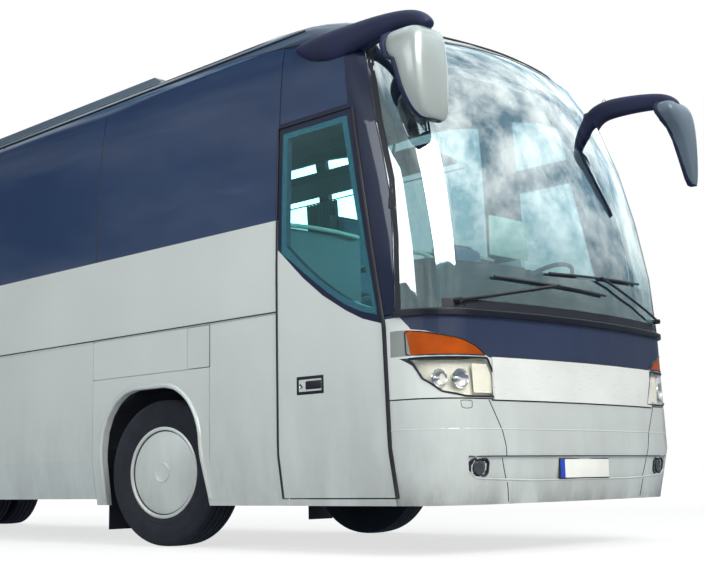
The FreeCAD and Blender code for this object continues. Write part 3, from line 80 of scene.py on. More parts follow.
class CoachPaint(bpy.types.PropertyGroup):
    silver: bpy.props.FloatVectorProperty(
        name="Silver paint", description="Lower panels, bumper and wheel covers", subtype="COLOR",
        size=4, min=0, max=1, default=(0.645, 0.69, 0.665, 1))
    navy: bpy.props.FloatVectorProperty(
        name="Navy paint", description="Window band, pillars and mirror arms", subtype="COLOR",
        size=4, min=0, max=1, default=(0.0055, 0.011, 0.042, 1))
    cove: bpy.props.FloatVectorProperty(
        name="Roof cove", description="Curved edge of the roof", subtype="COLOR",
        size=4, min=0, max=1, default=(0.022, 0.036, 0.072, 1))
    amber: bpy.props.FloatVectorProperty(
        name="Amber lens", description="Turn lamps", subtype="COLOR",
        size=4, min=0, max=1, default=(0.72, 0.13, 0.012, 1))
    fabric: bpy.props.FloatVectorProperty(
        name="Seat fabric", description="Seat cushions and backs", subtype="COLOR",
        size=4, min=0, max=1, default=(0.045, 0.085, 0.16, 1))


class CoachSizes(bpy.types.PropertyGroup):
    seal_radius: bpy.props.FloatProperty(
        name="Seal radius", description="Half width of the rubber round doors and glass",
        unit="LENGTH", min=0.002, max=0.03, default=0.009)
    lip_radius: bpy.props.FloatProperty(
        name="Arch lip radius", description="Half width of the raised lip round each wheel arch",
        unit="LENGTH", min=0.004, max=0.05, default=0.017)
    groove_depth: bpy.props.FloatProperty(
        name="Tread groove depth", description="Depth of the grooves in the tyres",
        unit="LENGTH", min=0.004, max=0.02, default=0.012)


# ---------------------------------------------------------------- node helpers

def link(tree, start, end):
    tree.links.new(start, end)


def node(tree, kind, **values):
    made = tree.nodes.new(kind)
    for name, value in values.items():
        setattr(made, name, value)
    return made


def feed(tree, socket, value):
    """Links another socket into this one, or writes a plain value there."""
    if hasattr(value, "links"):
        link(tree, value, socket)
    else:
        socket.default_value = value


def feed_all(tree, made, **values):
    """Feeds inputs by name; an underscore in a name stands for a space."""
    for name, value in values.items():
        feed(tree, made.inputs[name.replace("_", " ")], value)
    return made


def maths(tree, operation, first, second=None, clamp=False):
    made = node(tree, "ShaderNodeMath", operation=operation, use_clamp=clamp)
    feed(tree, made.inputs[0], first)
    if second is not None:
        feed(tree, made.inputs[1], second)
    return made.outputs[0]


def ramp_between(tree, value, low, high, to_low=0.0, to_high=1.0):
    made = node(tree, "ShaderNodeMapRange", clamp=True)
    feed_all(tree, made, Value=value, From_Min=low, From_Max=high, To_Min=to_low, To_Max=to_high)
    return made.outputs["Result"]


def noise(tree, vector, scale, detail=3.0, roughness=0.5, stretch=None):
    if stretch is not None:
        mapping = feed_all(tree, node(tree, "ShaderNodeMapping"), Scale=stretch, Vector=vector)
        vector = mapping.outputs["Vector"]
    made = node(tree, "ShaderNodeTexNoise")
    return feed_all(tree, made, Vector=vector, Scale=scale, Detail=detail, Roughness=roughness).outputs["Fac"]


def mixed(tree, share, first, second):
    made = node(tree, "ShaderNodeMix", data_type="RGBA")
    link(tree, share, made.inputs["Factor"])
    for socket, value in zip([socket for socket in made.inputs if socket.type == "RGBA"], (first, second)):
        feed(tree, socket, value)
    return [socket for socket in made.outputs if socket.type == "RGBA"][0]


def split_axes(tree, vector):
    """X, Y and Z of a place."""
    parts = node(tree, "ShaderNodeSeparateXYZ")
    link(tree, vector, parts.inputs[0])
    return [parts.outputs[axis] for axis in "XYZ"]


def mixed_shaders(tree, share, first, second):
    """Output that shows the first shader where the share is 0 and the second where it is 1."""
    made = node(tree, "ShaderNodeMixShader")
    for index, value in enumerate((share, first, second)):
        feed(tree, made.inputs[index], value)
    return made.outputs[0]


def light_source(tree, kind, colour, strength):
    """Emission or background of one colour."""
    return feed_all(tree, node(tree, kind), Color=colour, Strength=strength).outputs[0]


def new_group(name, inputs, outputs):
    """Node group with named sockets; returns the tree, its input sockets and its output node."""
    tree = bpy.data.node_groups.new(name, "ShaderNodeTree")
    kinds = {"f": "NodeSocketFloat", "c": "NodeSocketColor", "v": "NodeSocketVector"}
    for kind, label, default in inputs:
        socket = tree.interface.new_socket(label, in_out="INPUT", socket_type=kinds[kind])
        if default is not None:
            socket.default_value = default
    for kind, label in outputs:
        tree.interface.new_socket(label, in_out="OUTPUT", socket_type=kinds[kind])
    return tree, node(tree, "NodeGroupInput").outputs, node(tree, "NodeGroupOutput")


def build_grain_group():
    """Fine grain of a surface: a varied roughness and a height for a bump."""
    tree, given, leave = new_group("fine_grain", [
        ("v", "Vector", None), ("f", "Scale", 60.0), ("f", "Low", 0.3), ("f", "High", 0.5)],
        [("f", "Roughness"), ("f", "Height")])
    value = noise(tree, given["Vector"], given["Scale"], 5.0, 0.6)
    patch = noise(tree, given["Vector"], 2.3, 2.0)
    both = maths(tree, "MULTIPLY", maths(tree, "ADD", value, patch), 0.5)
    varied = ramp_between(tree, both, 0.32, 0.68, given["Low"], given["High"])
    feed_all(tree, leave, Roughness=varied, Height=value)
    return tree


def build_film_group():
    """Road dust: gathers low down and in streaks, and dulls the colour under it."""
    tree, given, leave = new_group("road_film", [
        ("v", "Vector", None), ("c", "Color", None), ("c", "Dust", (0.20, 0.18, 0.15, 1)),
        ("f", "Low", 0.3), ("f", "High", 1.1), ("f", "Amount", 0.5)],
        [("c", "Color"), ("f", "Mask")])
    _, _, height = split_axes(tree, given["Vector"])
    fall = maths(tree, "POWER", ramp_between(tree, height, given["Low"], given["High"], 1.0, 0.0), 1.7)
    streak = noise(tree, given["Vector"], 3.0, 6.0, 0.65, (1.0, 1.0, 0.35))
    streak = ramp_between(tree, streak, 0.36, 0.66, 0.15, 1.0)
    mask = maths(tree, "MULTIPLY", maths(tree, "MULTIPLY", fall, streak), given["Amount"], True)
    feed_all(tree, leave, Color=mixed(tree, mask, given["Color"], given["Dust"]), Mask=mask)
    return tree


def build_shade_group():
    """Slow drift of a colour between two shades, as real panels show."""
    tree, given, leave = new_group("colour_drift", [
        ("v", "Vector", None), ("c", "Color", None), ("f", "Scale", 1.2), ("f", "Spread", 0.08)],
        [("c", "Color")])
    patch = noise(tree, given["Vector"], given["Scale"], 3.0)
    low, high = (maths(tree, operation, 1.0, given["Spread"]) for operation in ("SUBTRACT", "ADD"))
    made = node(tree, "ShaderNodeVectorMath", operation="SCALE")
    link(tree, given["Color"], made.inputs[0])
    link(tree, ramp_between(tree, patch, 0.3, 0.7, low, high), made.inputs["Scale"])
    link(tree, made.outputs[0], leave.inputs["Color"])
    return tree


def build_weave_group():
    """Woven cloth: crossing threads as a height, with a two tone colour."""
    tree, given, leave = new_group("weave", [
        ("v", "Vector", None), ("c", "Color", None), ("c", "Thread", (0.2, 0.25, 0.35, 1)),
        ("f", "Count", 260.0)], [("c", "Color"), ("f", "Height")])
    threads = []
    for axis in "XYZ":
        wave = node(tree, "ShaderNodeTexWave", wave_type="BANDS", bands_direction=axis)
        feed_all(tree, wave, Distortion=0.6, Vector=given["Vector"], Scale=given["Count"])
        threads.append(wave.outputs["Fac"])
    height = maths(tree, "ADD", maths(tree, "ADD", threads[0], threads[1]), threads[2])
    height = maths(tree, "MULTIPLY", height, 0.33)
    fleck = noise(tree, given["Vector"], 90.0, 2.0)
    share = maths(tree, "MULTIPLY", maths(tree, "ADD", height, fleck), 0.45, True)
    feed_all(tree, leave, Color=mixed(tree, share, given["Color"], given["Thread"]), Height=height)
    return tree


GROUP_MAKERS = {"fine_grain": build_grain_group, "road_film": build_film_group, "colour_drift": build_shade_group,
                "weave": build_weave_group}
GROUPS = {}


def group(name):
    if name not in GROUPS:
        GROUPS[name] = GROUP_MAKERS[name]()
    return GROUPS[name]


def settings():
    return bpy.context.scene.coach_paint, bpy.context.scene.coach_sizes


def shade(colour):
    """A colour as it is written, or the user's own where it is named."""
    return tuple(getattr(settings()[0], colour)) if isinstance(colour, str) else colour


class Finish:
    """One material with its Principled shader, and the usual grain, dust and bump."""

    def __init__(self, name, **values):
        self.material = bpy.data.materials.new(name)
        self.material.use_nodes = True
        self.tree = self.material.node_tree
        self.shader = self.tree.nodes["Principled BSDF"]
        feed_all(self.tree, self.shader, Coat_Roughness=0.05)
        feed_all(self.tree, self.shader, **values)
        self.place = node(self.tree, "ShaderNodeTexCoord").outputs["Object"]
        self.colour = None

    def placed(self, name, **values):
        made = node(self.tree, "ShaderNodeGroup", node_tree=group(name))
        return feed_all(self.tree, made, Vector=self.place, **values).outputs

    def paint(self, colour, spread, scale):
        self.colour = self.placed("colour_drift", Color=shade(colour), Spread=spread, Scale=scale)["Color"]
        return self

    def two_tone(self, zone, colour, zone_colour, spread=0.045, scale=0.9):
        """One colour, and another in a zone."""
        return self.paint(mixed(self.tree, zone, shade(colour), shade(zone_colour)), spread, scale)

    def dust(self, amount, low, high, dust=(0.17, 0.155, 0.13, 1)):
        made = self.placed("road_film", Color=self.colour, Amount=amount, Low=low, High=high, Dust=dust)
        self.colour = made["Color"]
        return self

    def grain(self, scale, low, high, bump, depth):
        made = self.placed("fine_grain", Scale=scale, Low=low, High=high)
        feed_all(self.tree, self.shader, Roughness=made["Roughness"])
        return self.bump(made["Height"], bump, depth)

    def bump(self, height, strength, depth):
        made = node(self.tree, "ShaderNodeBump")
        feed_all(self.tree, made, Strength=strength, Distance=depth, Height=height)
        feed_all(self.tree, self.shader, Normal=made.outputs["Normal"])
        return self

    def done(self):
        feed_all(self.tree, self.shader, Base_Color=self.colour)
        return self.material

    def axes(self):
        return split_axes(self.tree, self.place)

    def above(self, value, level):
        return maths(self.tree, "GREATER_THAN", value, level)

    def below(self, value, level):
        return maths(self.tree, "LESS_THAN", value, level)

    def both(self, first, second):
        return maths(self.tree, "MULTIPLY", first, second)

    def either(self, first, second):
        return maths(self.tree, "MAXIMUM", first, second)

    def stretches(self, value, marks):
        """Height of a line of straight stretches, at each place along it."""
        line = marks[0][1]
        for (start, low), (end, high) in zip(marks, marks[1:]):
            line = maths(self.tree, "ADD", ramp_between(self.tree, value, start, end, 0.0, high - low), line)
        return line


# ---------------------------------------------------------------- finishes

# amount of the dust on the body, and the heights where it is thickest and where it ends
BODY_DUST = (0.42, 0.2, 1.5)
# place behind the front axle and height of the marks of the paint's sweep across the door
DOOR_SWEEP = [(-2.330, 1.352), (-2.163, 1.399), (-2.022, 1.464), (-1.820, 1.579), (-1.640, 1.713), (-1.399, 1.928),
              (-1.380, 1.945)]
# distance from the middle and height of the marks of the navy paint's edge over the lamps
LAMP_SWEEP = [(0.870, 1.140), (0.890, 1.153), (0.956, 1.206), (1.062, 1.246), (1.184, 1.272), (1.262, 1.300),
              (1.272, 1.375)]


def silver_paint(name, colour, *more_dust):
    made = Finish(name, Metallic=0.25, Coat_Weight=0.7, Coat_Roughness=0.06)
    made.paint(colour, 0.045, 0.9).dust(*BODY_DUST)
    if more_dust:
        made.dust(*more_dust)
    return made.grain(420.0, 0.30, 0.42, 0.02, 0.0004).done()


def side_paint(name, zone_of):
    """Side panels and door: silver, with navy in a zone."""
    made = Finish(name, Metallic=0.2, Coat_Weight=0.9, Coat_Roughness=0.04)
    made.two_tone(zone_of(made), "silver", "navy").dust(*BODY_DUST)
    return made.grain(420.0, 0.28, 0.40, 0.015, 0.0004).done()


def belt_zone(made):
    """Above the belt line, and on the screen pillar."""
    _, y, z = made.axes()
    pillar = made.both(made.below(y, aft(-2.04)), made.above(z, LEDGE_HEIGHT - 0.045))
    return made.either(made.above(z, BELT_HEIGHT), pillar)


def door_zone(made):
    """Above the long sweep across the door."""
    _, y, z = made.axes()
    return made.above(z, made.stretches(y, [(aft(place), height) for place, height in DOOR_SWEEP]))


def navy_paint(name):
    made = Finish(name, Metallic=0.1, Coat_Weight=0.6).paint("navy", 0.12, 1.6).dust(0.10, 0.6, 2.2)
    return made.grain(300.0, 0.22, 0.34, 0.012, 0.0004).done()


def front_panel_paint(name):
    """Panel under the windscreen: navy above the lamps and between them, silver at the corners."""
    made = Finish(name, Metallic=0.1, Coat_Weight=0.6, Coat_Roughness=0.03)
    x, _, z = made.axes()
    zone = made.above(z, made.stretches(maths(made.tree, "ABSOLUTE", x), LAMP_SWEEP))
    made.two_tone(zone, "silver", (0.022, 0.034, 0.078, 1), 0.06, 1.2).dust(0.3, 0.4, 1.6)
    return made.grain(420.0, 0.26, 0.38, 0.015, 0.0004).done()


def roof_paint(name):
    """Roof: dark cove along both sides, silver cap over the windscreen and pale top."""
    made = Finish(name, Coat_Weight=0.25, Specular_IOR_Level=0.25)
    x, y, z = made.axes()
    side = maths(made.tree, "ABSOLUTE", x)
    cap_edge = ramp_between(made.tree, side, 0.70, 1.02, aft(-2.05), aft(-2.35))
    cap = made.both(made.below(y, cap_edge), made.below(side, 1.0))
    zone = made.either(ramp_between(made.tree, z, 3.505, 3.52), cap)
    return made.two_tone(zone, "cove", "silver", 0.06, 1.1).grain(300.0, 0.28, 0.42, 0.012, 0.0004).done()


def unit_paint(name):
    """Slate grey shell of the roof unit."""
    made = Finish(name, Coat_Weight=0.1, Coat_Roughness=0.3).paint((0.028, 0.050, 0.082, 1), 0.08, 1.5)
    return made.grain(380.0, 0.35, 0.5, 0.02, 0.0004).done()


def trim_paint(name):
    """Nose bar in brushed silver, and the black ledge under the windscreen."""
    made = Finish(name, Metallic=0.25, Coat_Weight=0.4, Coat_Roughness=0.12)
    made.two_tone(made.above(made.axes()[2], 1.3), (0.80, 0.82, 0.79, 1), (0.006, 0.007, 0.016, 1), 0.06, 3.0)
    streak = noise(made.tree, made.place, 10.0, 6.0, 0.6, (1.0, 1.0, 60.0))
    feed_all(made.tree, made.shader, Roughness=ramp_between(made.tree, streak, 0.3, 0.7, 0.24, 0.46))
    return made.bump(streak, 0.05, 0.0006).done()


def left_mirror_painted_shade(name):
    """Left mirror: slate painted shade on the side that faces the coach, and silver along its outer edge."""
    made = Finish(name, Metallic=0.1, Coat_Weight=0.3, Coat_Roughness=0.15)
    edge = ramp_between(made.tree, made.axes()[0], 1.446, 1.456)
    made.two_tone(edge, (0.10, 0.135, 0.175, 1), "silver", 0.05, 2.0)
    return made.grain(420.0, 0.35, 0.5, 0.02, 0.0004).done()


def dark_plastic(name, colour, low, high):
    made = Finish(name, Coat_Weight=0.1, Coat_Roughness=0.3).paint(colour, 0.25, 6.0).dust(0.25, 0.1, 0.9)
    return made.grain(700.0, low, high, 0.12, 0.0006).done()


def tyre_rubber(name):
    made = Finish(name, Sheen_Weight=0.05).paint((0.007, 0.009, 0.017, 1), 0.3, 9.0)
    return made.dust(0.22, -0.1, 0.95, (0.040, 0.041, 0.045, 1)).grain(520.0, 0.62, 0.88, 0.25, 0.0012).done()


def glass(name, tint, spread=0.04, **values):
    """Tinted pane that lets the light of lamps through, so that the cabin is lit."""
    made = Finish(name, **{"Roughness": 0.0, "Transmission_Weight": 1.0, "IOR": 1.5, **values})
    material, tree = made.paint(tint, spread, 0.8).done(), made.tree
    clear = feed_all(tree, node(tree, "ShaderNodeBsdfTransparent"), Color=tint).outputs["BSDF"]
    shadow = node(tree, "ShaderNodeLightPath").outputs["Is Shadow Ray"]
    surface = mixed_shaders(tree, shadow, made.shader.outputs["BSDF"], clear)
    feed_all(tree, tree.nodes["Material Output"], Surface=surface)
    return material


def coated_glass(name, tint, coat_index, clear=1.0):
    """Glass with a hard coat that mirrors more of the sky than plain glass does."""
    return glass(name, tint, 0.10, Coat_Weight=1.0, Coat_IOR=coat_index, Coat_Roughness=0.0,
                 Transmission_Weight=clear)


def lens(name, colour, roughness=0.08):
    """Moulded lens with fine upright ribs."""
    made = Finish(name, Roughness=roughness, Coat_Weight=0.8, Transmission_Weight=0.55, IOR=1.45)
    made.paint(colour, 0.12, 9.0)
    if name == "amber_lens":
        # behind a slanting line the turn lamps have the panel's silver
        _, y, z = made.axes()
        slant = maths(made.tree, "MULTIPLY", maths(made.tree, "SUBTRACT", 1.301, z), 0.24)
        beyond = made.above(y, maths(made.tree, "SUBTRACT", aft(-2.498), slant))
        made.colour = mixed(made.tree, beyond, made.colour, (0.50, 0.545, 0.52, 1))
    wave = node(made.tree, "ShaderNodeTexWave", wave_type="BANDS", bands_direction="X")
    ribs = feed_all(made.tree, wave, Scale=220.0 / 6, Vector=made.place).outputs["Fac"]
    return made.bump(ribs, 0.35, 0.0015).done()


def steel(name, colour, metallic, low, high):
    made = Finish(name, Metallic=metallic).paint(colour, 0.25, 5.0).dust(0.7, -0.2, 1.6, (0.10, 0.088, 0.07, 1))
    return made.grain(160.0, low, high, 0.15, 0.001).done()


def bright_metal(name, colour, low, high):
    return Finish(name, Metallic=1.0).paint(colour, 0.05, 7.0).grain(260.0, low, high, 0.03, 0.0005).done()


def cabin_plastic(name, colour):
    return Finish(name).paint(colour, 0.06, 2.5).grain(900.0, 0.5, 0.72, 0.10, 0.0005).done()


def floor_cover(name):
    return Finish(name).paint((0.10, 0.11, 0.12, 1), 0.2, 30.0).grain(240.0, 0.55, 0.8, 0.2, 0.001).done()


def cloth(name, colour, thread, count=260.0):
    made = Finish(name, Sheen_Weight=0.45)
    woven = made.placed("weave", Color=shade(colour), Thread=thread, Count=count)
    made.colour = woven["Color"]
    grain = made.placed("fine_grain", Scale=300.0, Low=0.78, High=0.95)
    feed_all(made.tree, made.shader, Roughness=grain["Roughness"])
    return made.bump(woven["Height"], 0.35, 0.0008).done()


def plate_face(name):
    """White plate with a plain blue strip at its left end."""
    made = Finish(name, Coat_Weight=0.3)
    x, y, _ = made.axes()
    edge = made.above(maths(made.tree, "ABSOLUTE", x), 0.214)
    left = made.both(made.below(x, 0.0), made.below(y, 0.0))
    right = made.both(made.above(x, 0.0), made.above(y, 0.0))
    strip = made.both(edge, made.either(left, right))
    made.two_tone(strip, (0.74, 0.75, 0.70, 1), (0.015, 0.05, 0.42, 1), 0.04, 8.0)
    return made.grain(300.0, 0.3, 0.45, 0.05, 0.0004).done()


# each finish with its maker and what the maker is given
MAKERS = {
    "silver_paint": (silver_paint, "silver"),
    "wheel_paint": (silver_paint, "silver"),
    # the mirror shell is the body's silver paint, darkened as painted shade
    "mirror_shell": (silver_paint, (0.36, 0.40, 0.385, 1)),
    "bumper_paint": (silver_paint, "silver", 0.75, 0.28, 0.50, (0.16, 0.16, 0.14, 1)),
    # the left mirror shell: silver, with slate painted shade on the side that faces the coach
    "mirror_shell_left": (left_mirror_painted_shade,),
    "side_paint": (side_paint, belt_zone),
    "door_paint": (side_paint, door_zone),
    "navy_paint": (navy_paint,),
    "front_panel_paint": (front_panel_paint,),
    "roof_paint": (roof_paint,),
    "unit_paint": (unit_paint,),
    "nose_trim": (trim_paint,),
    "navy_dull": (dark_plastic, (0.004, 0.008, 0.048, 1), 0.60, 0.78),
    "black_plastic": (dark_plastic, (0.012, 0.012, 0.018, 1), 0.38, 0.62),
    "rubber_seal": (dark_plastic, (0.006, 0.006, 0.014, 1), 0.45, 0.7),
    "tyre_rubber": (tyre_rubber,),
    "clear_glass": (coated_glass, (0.58, 0.80, 0.83, 1), 2.9),
    "left_glass": (coated_glass, (0.60, 0.80, 0.82, 1), 1.7),
    "dark_glass": (coated_glass, (0.034, 0.060, 0.135, 1), 1.6, 0.22),
    "door_glass": (glass, (0.42, 0.95, 1.0, 1)),
    "lamp_glass": (glass, (0.96, 0.97, 0.97, 1)),
    "amber_lens": (lens, "amber"),
    "dark_lens": (lens, (0.10, 0.11, 0.13, 1), 0.1),
    "red_lens": (lens, (0.45, 0.012, 0.012, 1)),
    "frame_steel": (steel, (0.03, 0.032, 0.036, 1), 0.35, 0.42, 0.7),
    "axle_iron": (steel, (0.05, 0.048, 0.046, 1), 0.6, 0.45, 0.75),
    "bright_metal": (bright_metal, (0.75, 0.76, 0.77, 1), 0.12, 0.26),
    "mirror_face": (bright_metal, (0.80, 0.82, 0.84, 1), 0.01, 0.04),
    "bay_sheet": (bright_metal, (0.45, 0.46, 0.47, 1), 0.35, 0.55),
    "cabin_trim": (cabin_plastic, (0.16, 0.17, 0.19, 1)),
    "cabin_dark": (cabin_plastic, (0.010, 0.012, 0.020, 1)),
    "cabin_grey": (cabin_plastic, (0.10, 0.11, 0.13, 1)),
    "cream_shell": (cabin_plastic, (0.62, 0.60, 0.50, 1)),
    "floor_cover": (floor_cover,),
    "plate_face": (plate_face,),
    "seat_fabric": (cloth, "fabric", (0.16, 0.24, 0.36, 1)),
    "curtain_cloth": (cloth, (0.10, 0.17, 0.20, 1), (0.20, 0.30, 0.33, 1), 420.0),
}
MATERIALS = {}


def finish(name):
    """Material by name, made when first asked for."""
    if name not in MATERIALS:
        maker, *values = MAKERS[name]
        MATERIALS[name] = maker(name, *values)
    return MATERIALS[name]


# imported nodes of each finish
FINISH_NODES = {
    "axle_iron": ("engine_block", "front_axle", "rear_axle", "knuckle_left", "knuckle_right"),
    "amber_lens": ("turn_lamps",), "bay_sheet": ("luggage_bay",),
    "black_plastic": ("steering_wheel", "wheel_liners", "wipers"),
    "bumper_paint": ("front_bumper",), "cabin_dark": ("dashboard",), "cabin_trim": ("luggage_racks", "partitions"),
    "clear_glass": ("windscreen",), "dark_glass": ("rear_window", "side_glass_right"), "dark_lens": ("fog_lamps",),
    "door_glass": ("front_door_glass",), "door_paint": ("front_door",), "floor_cover": ("floor_deck",),
    "frame_steel": ("chassis_frame", "front_door_arm"), "front_panel_paint": ("front_panel",),
    "lamp_glass": ("headlamps",), "left_glass": ("side_glass_left",), "mirror_shell": ("mirror_heads",),
    "navy_paint": ("mirror_arms",), "nose_trim": ("front_trim",), "red_lens": ("tail_lamps",),
    "roof_paint": ("roof",), "seat_fabric": ("driver_seat", "passenger_seats"),
    "side_paint": ("rear_panel", "side_panel_left", "side_panel_right"),
    "silver_paint": ("engine_lid", "filler_flap", "roof_hatches",
                     *("luggage_flap_%s_%d" % (side, index) for side in ("left", "right") for index in (1, 2, 3))),
    "tyre_rubber": ("mudflaps", "tyre_front_left", "tyre_front_right", "tyres_rear_left", "tyres_rear_right"),
    "unit_paint": ("air_conditioning_unit",),
    "wheel_paint": ("wheel_front_left", "wheel_front_right", "wheel_rear_left", "wheel_rear_right"),
}
NODE_FINISHES = {name: material for material, names in FINISH_NODES.items() for name in names}


# ---------------------------------------------------------------- modelling helpers

def clear_selection():
    bpy.ops.object.select_all(action="DESELECT")


def active(piece):
    """Makes one piece the only selected one."""
    clear_selection()
    bpy.context.view_layer.objects.active = piece
    piece.select_set(True)
    return piece


class EditMode:
    """Holds a piece in edit mode, with all of it selected."""

    def __init__(self, piece):
        active(piece)

    def __enter__(self):
        bpy.ops.object.mode_set(mode="EDIT")
        bpy.ops.mesh.select_all(action="SELECT")

    def __exit__(self, *_):
        bpy.ops.object.mode_set(mode="OBJECT")


def as_mesh(piece):
    active(piece)
    bpy.ops.object.convert(target="MESH")
    return bpy.context.view_layer.objects.active


def settle(piece, material, body="coach_body", smooth=35.0):
    """Puts the piece's place into its mesh, gives it a finish and makes it ride on its body."""
    if piece.type == "CURVE":
        piece = as_mesh(piece)
    active(piece)
    bpy.ops.object.transform_apply(location=True, rotation=True, scale=True)
    bpy.ops.object.shade_smooth_by_angle(angle=math.radians(smooth))
    piece.data.materials.clear()
    piece.data.materials.append(finish(material))
    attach(piece, body)
    return piece


def tube(name, points, radius, cyclic=False, sides=3, smooth=True):
    """Rod or bead along points."""
    clear_selection()
    bpy.ops.curve.primitive_nurbs_path_add(location=(0, 0, 0))
    piece = bpy.context.view_layer.objects.active
    piece.name = name
    curve = piece.data
    curve.splines.clear()
    spline = curve.splines.new("NURBS" if smooth else "POLY")
    spline.points.add(len(points) - 1)
    for point, place in zip(spline.points, points):
        point.co = (*place, 1.0)
    if smooth:
        spline.order_u = 3
        spline.use_endpoint_u = not cyclic
        spline.resolution_u = 4
    spline.use_cyclic_u = cyclic
    curve.dimensions = "3D"
    curve.bevel_depth = radius
    curve.bevel_resolution = sides
    curve.use_fill_caps = True
    return piece


TREES = {}


def cast_on(node_names, start, direction):
    """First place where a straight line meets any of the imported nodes, with the surface's normal there."""
    best = None
    for name in node_names:
        if name not in TREES:
            mesh = frame["nodes"][name].data
            TREES[name] = BVHTree.FromPolygons([vertex.co for vertex in mesh.vertices],
                                               [tuple(face.vertices) for face in mesh.polygons])
        place, normal, _, distance = TREES[name].ray_cast(start, direction)
        if place is not None and (best is None or distance < (best[0] - start).length):
            best = (place, normal)
    return best


# places outside the coach from which straight lines look for its surface
AHEAD_Y, BEHIND_Y, BESIDE_X, ABOVE_Z = -8.0, 8.5, -2.0, 5.0


def nose_hit(nodes, x, z):
    return cast_on(nodes, Vector((x, AHEAD_Y, z)), Vector((0, 1, 0)))


def side_hit(nodes, y, z):
    return cast_on(nodes, Vector((BESIDE_X, y, z)), Vector((1, 0, 0)))


def tail_hit(nodes, x, z):
    return cast_on(nodes, Vector((x, BEHIND_Y, z)), Vector((0, -1, 0)))


def top_hit(nodes, x, y):
    return cast_on(nodes, Vector((x, y, ABOVE_Z)), Vector((0, 0, -1)))


def laid(hit, marks, proud, nodes):
    """Places on the surface for marks, standing proud of it; marks that miss it are left out."""
    found = [hit(nodes, *mark) for mark in marks]
    return [place + normal.normalized() * proud for place, normal in filter(None, found)]


def between(marks, step):
    """Marks with more of them put in, so that no gap is longer than step."""
    full = [marks[0]]
    for start, end in zip(marks, marks[1:]):
        count = max(1, math.ceil(math.dist(start, end) / step))
        full += [tuple(a + (b - a) * index / count for a, b in zip(start, end)) for index in range(1, count + 1)]
    return full


def other_side(places):
    """The same places on the coach's other side."""
    return [Vector((-place.x, place.y, place.z)) for place in places]


def seam(name, hit, marks, step, proud, nodes, radius, material="rubber_seal", slot_name=None, body="coach_body",
         loop=False, **shape):
    """Bead on the surface along marks: a rubber, a joint line or a rim."""
    if loop:
        marks = between(marks + marks[:1], step)[:-1]
    elif step:
        marks = between(marks, step)
    bead = tube(name, laid(hit, marks, proud, nodes), radius, cyclic=loop, **shape)
    return settle(bead, material, body)


def copied(piece, name, change):
    """Copy of a finished piece, moved or mirrored by a matrix."""
    twin = piece.copy()
    twin.data = piece.data.copy()
    twin.name = name
    bpy.context.scene.collection.objects.link(twin)
    twin.data.transform(change)
    if change.determinant() < 0:
        twin.data.flip_normals()
    return twin


ACROSS = Matrix.Scale(-1, 4, (1, 0, 0))


def place_twin(piece, name):
    """The same piece on the coach's other side."""
    twin = copied(piece, name, ACROSS)
    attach(twin, "coach_body")
    return twin


# ---------------------------------------------------------------- operators

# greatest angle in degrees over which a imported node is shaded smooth
SMOOTH_NODES = {"windscreen": 60.0, "roof": 40.0, "wheel_front_left": 30.0, "wheel_front_right": 30.0}


class COACH_OT_finishes(bpy.types.Operator):
    """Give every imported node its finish"""
    bl_idname = "coach.finishes"
    bl_label = "Finishes"

    def execute(self, context):
        for name, item in frame["nodes"].items():
            item.data.materials.clear()
            item.data.materials.append(finish(NODE_FINISHES[name]))
            if not item.hide_render:
                active(item)
                bpy.ops.object.shade_smooth_by_angle(angle=math.radians(SMOOTH_NODES.get(name, 24.0)))
        clear_selection()
        return {"FINISHED"}


# imported nodes that get smooth skins, in groups under slot names that are not used; each skin takes its node's own
# finish
SKINS = {
    "tinted_glass": ("windscreen", "front_door_glass", "side_glass_left", "side_glass_right", "rear_window"),
    "navy_paint": ("front_panel",),
    "cove_paint": ("roof",),
    "silver_paint": ("front_bumper", "side_panel_left", "side_panel_right", "front_door", "rear_panel", "engine_lid",
                     "front_trim", "air_conditioning_unit", "roof_hatches", "filler_flap"),
    "amber_lens": ("turn_lamps",),
    "red_lens": ("tail_lamps",),
    "wheel_paint": ("wheel_front_left", "wheel_front_right", "wheel_rear_left", "wheel_rear_right"),
    "black_plastic": ("wipers", "dashboard"),
}


class COACH_OT_skins(bpy.types.Operator):
    """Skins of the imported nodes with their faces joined, so that curves shade smoothly"""
    bl_idname = "coach.skins"
    bl_label = "Smooth skins"

    def execute(self, context):
        bodies = {name: body for body, names in frame["record"]["behaviour"]["bodies"].items() for name in names}
        for slot_name, names in SKINS.items():
            for name in names:
                skin = bpy.data.objects.new("skin_" + name, frame["nodes"][name].data.copy())
                context.scene.collection.objects.link(skin)
                active(skin)
                bpy.ops.mesh.customdata_custom_splitnormals_clear()
                with EditMode(skin):
                    bpy.ops.mesh.remove_doubles(threshold=0.00005)
                settle(skin, NODE_FINISHES[name], bodies[name], SMOOTH_NODES.get(name, 26.0))
                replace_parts(skin, name)
        return {"FINISHED"}


# ---------------------------------------------------------------- shapes

def new_mesh(name, points, edges, faces):
    mesh = bpy.data.meshes.new(name)
    mesh.from_pydata([tuple(point) for point in points], edges, faces)
    piece = bpy.data.objects.new(name, mesh)
    bpy.context.scene.collection.objects.link(piece)
    return active(piece)


def grid_faces(rows, columns):
    """Faces of a sheet whose points are given row by row, with one more point than columns in each."""
    count = columns + 1
    return [(row * count + i, row * count + i + 1, (row + 1) * count + i + 1, (row + 1) * count + i)
            for row in range(rows) for i in range(columns)]


def tidy_normals(piece):
    with EditMode(piece):
        bpy.ops.mesh.remove_doubles(threshold=0.00002)
        bpy.ops.mesh.normals_make_consistent(inside=False)
    return piece


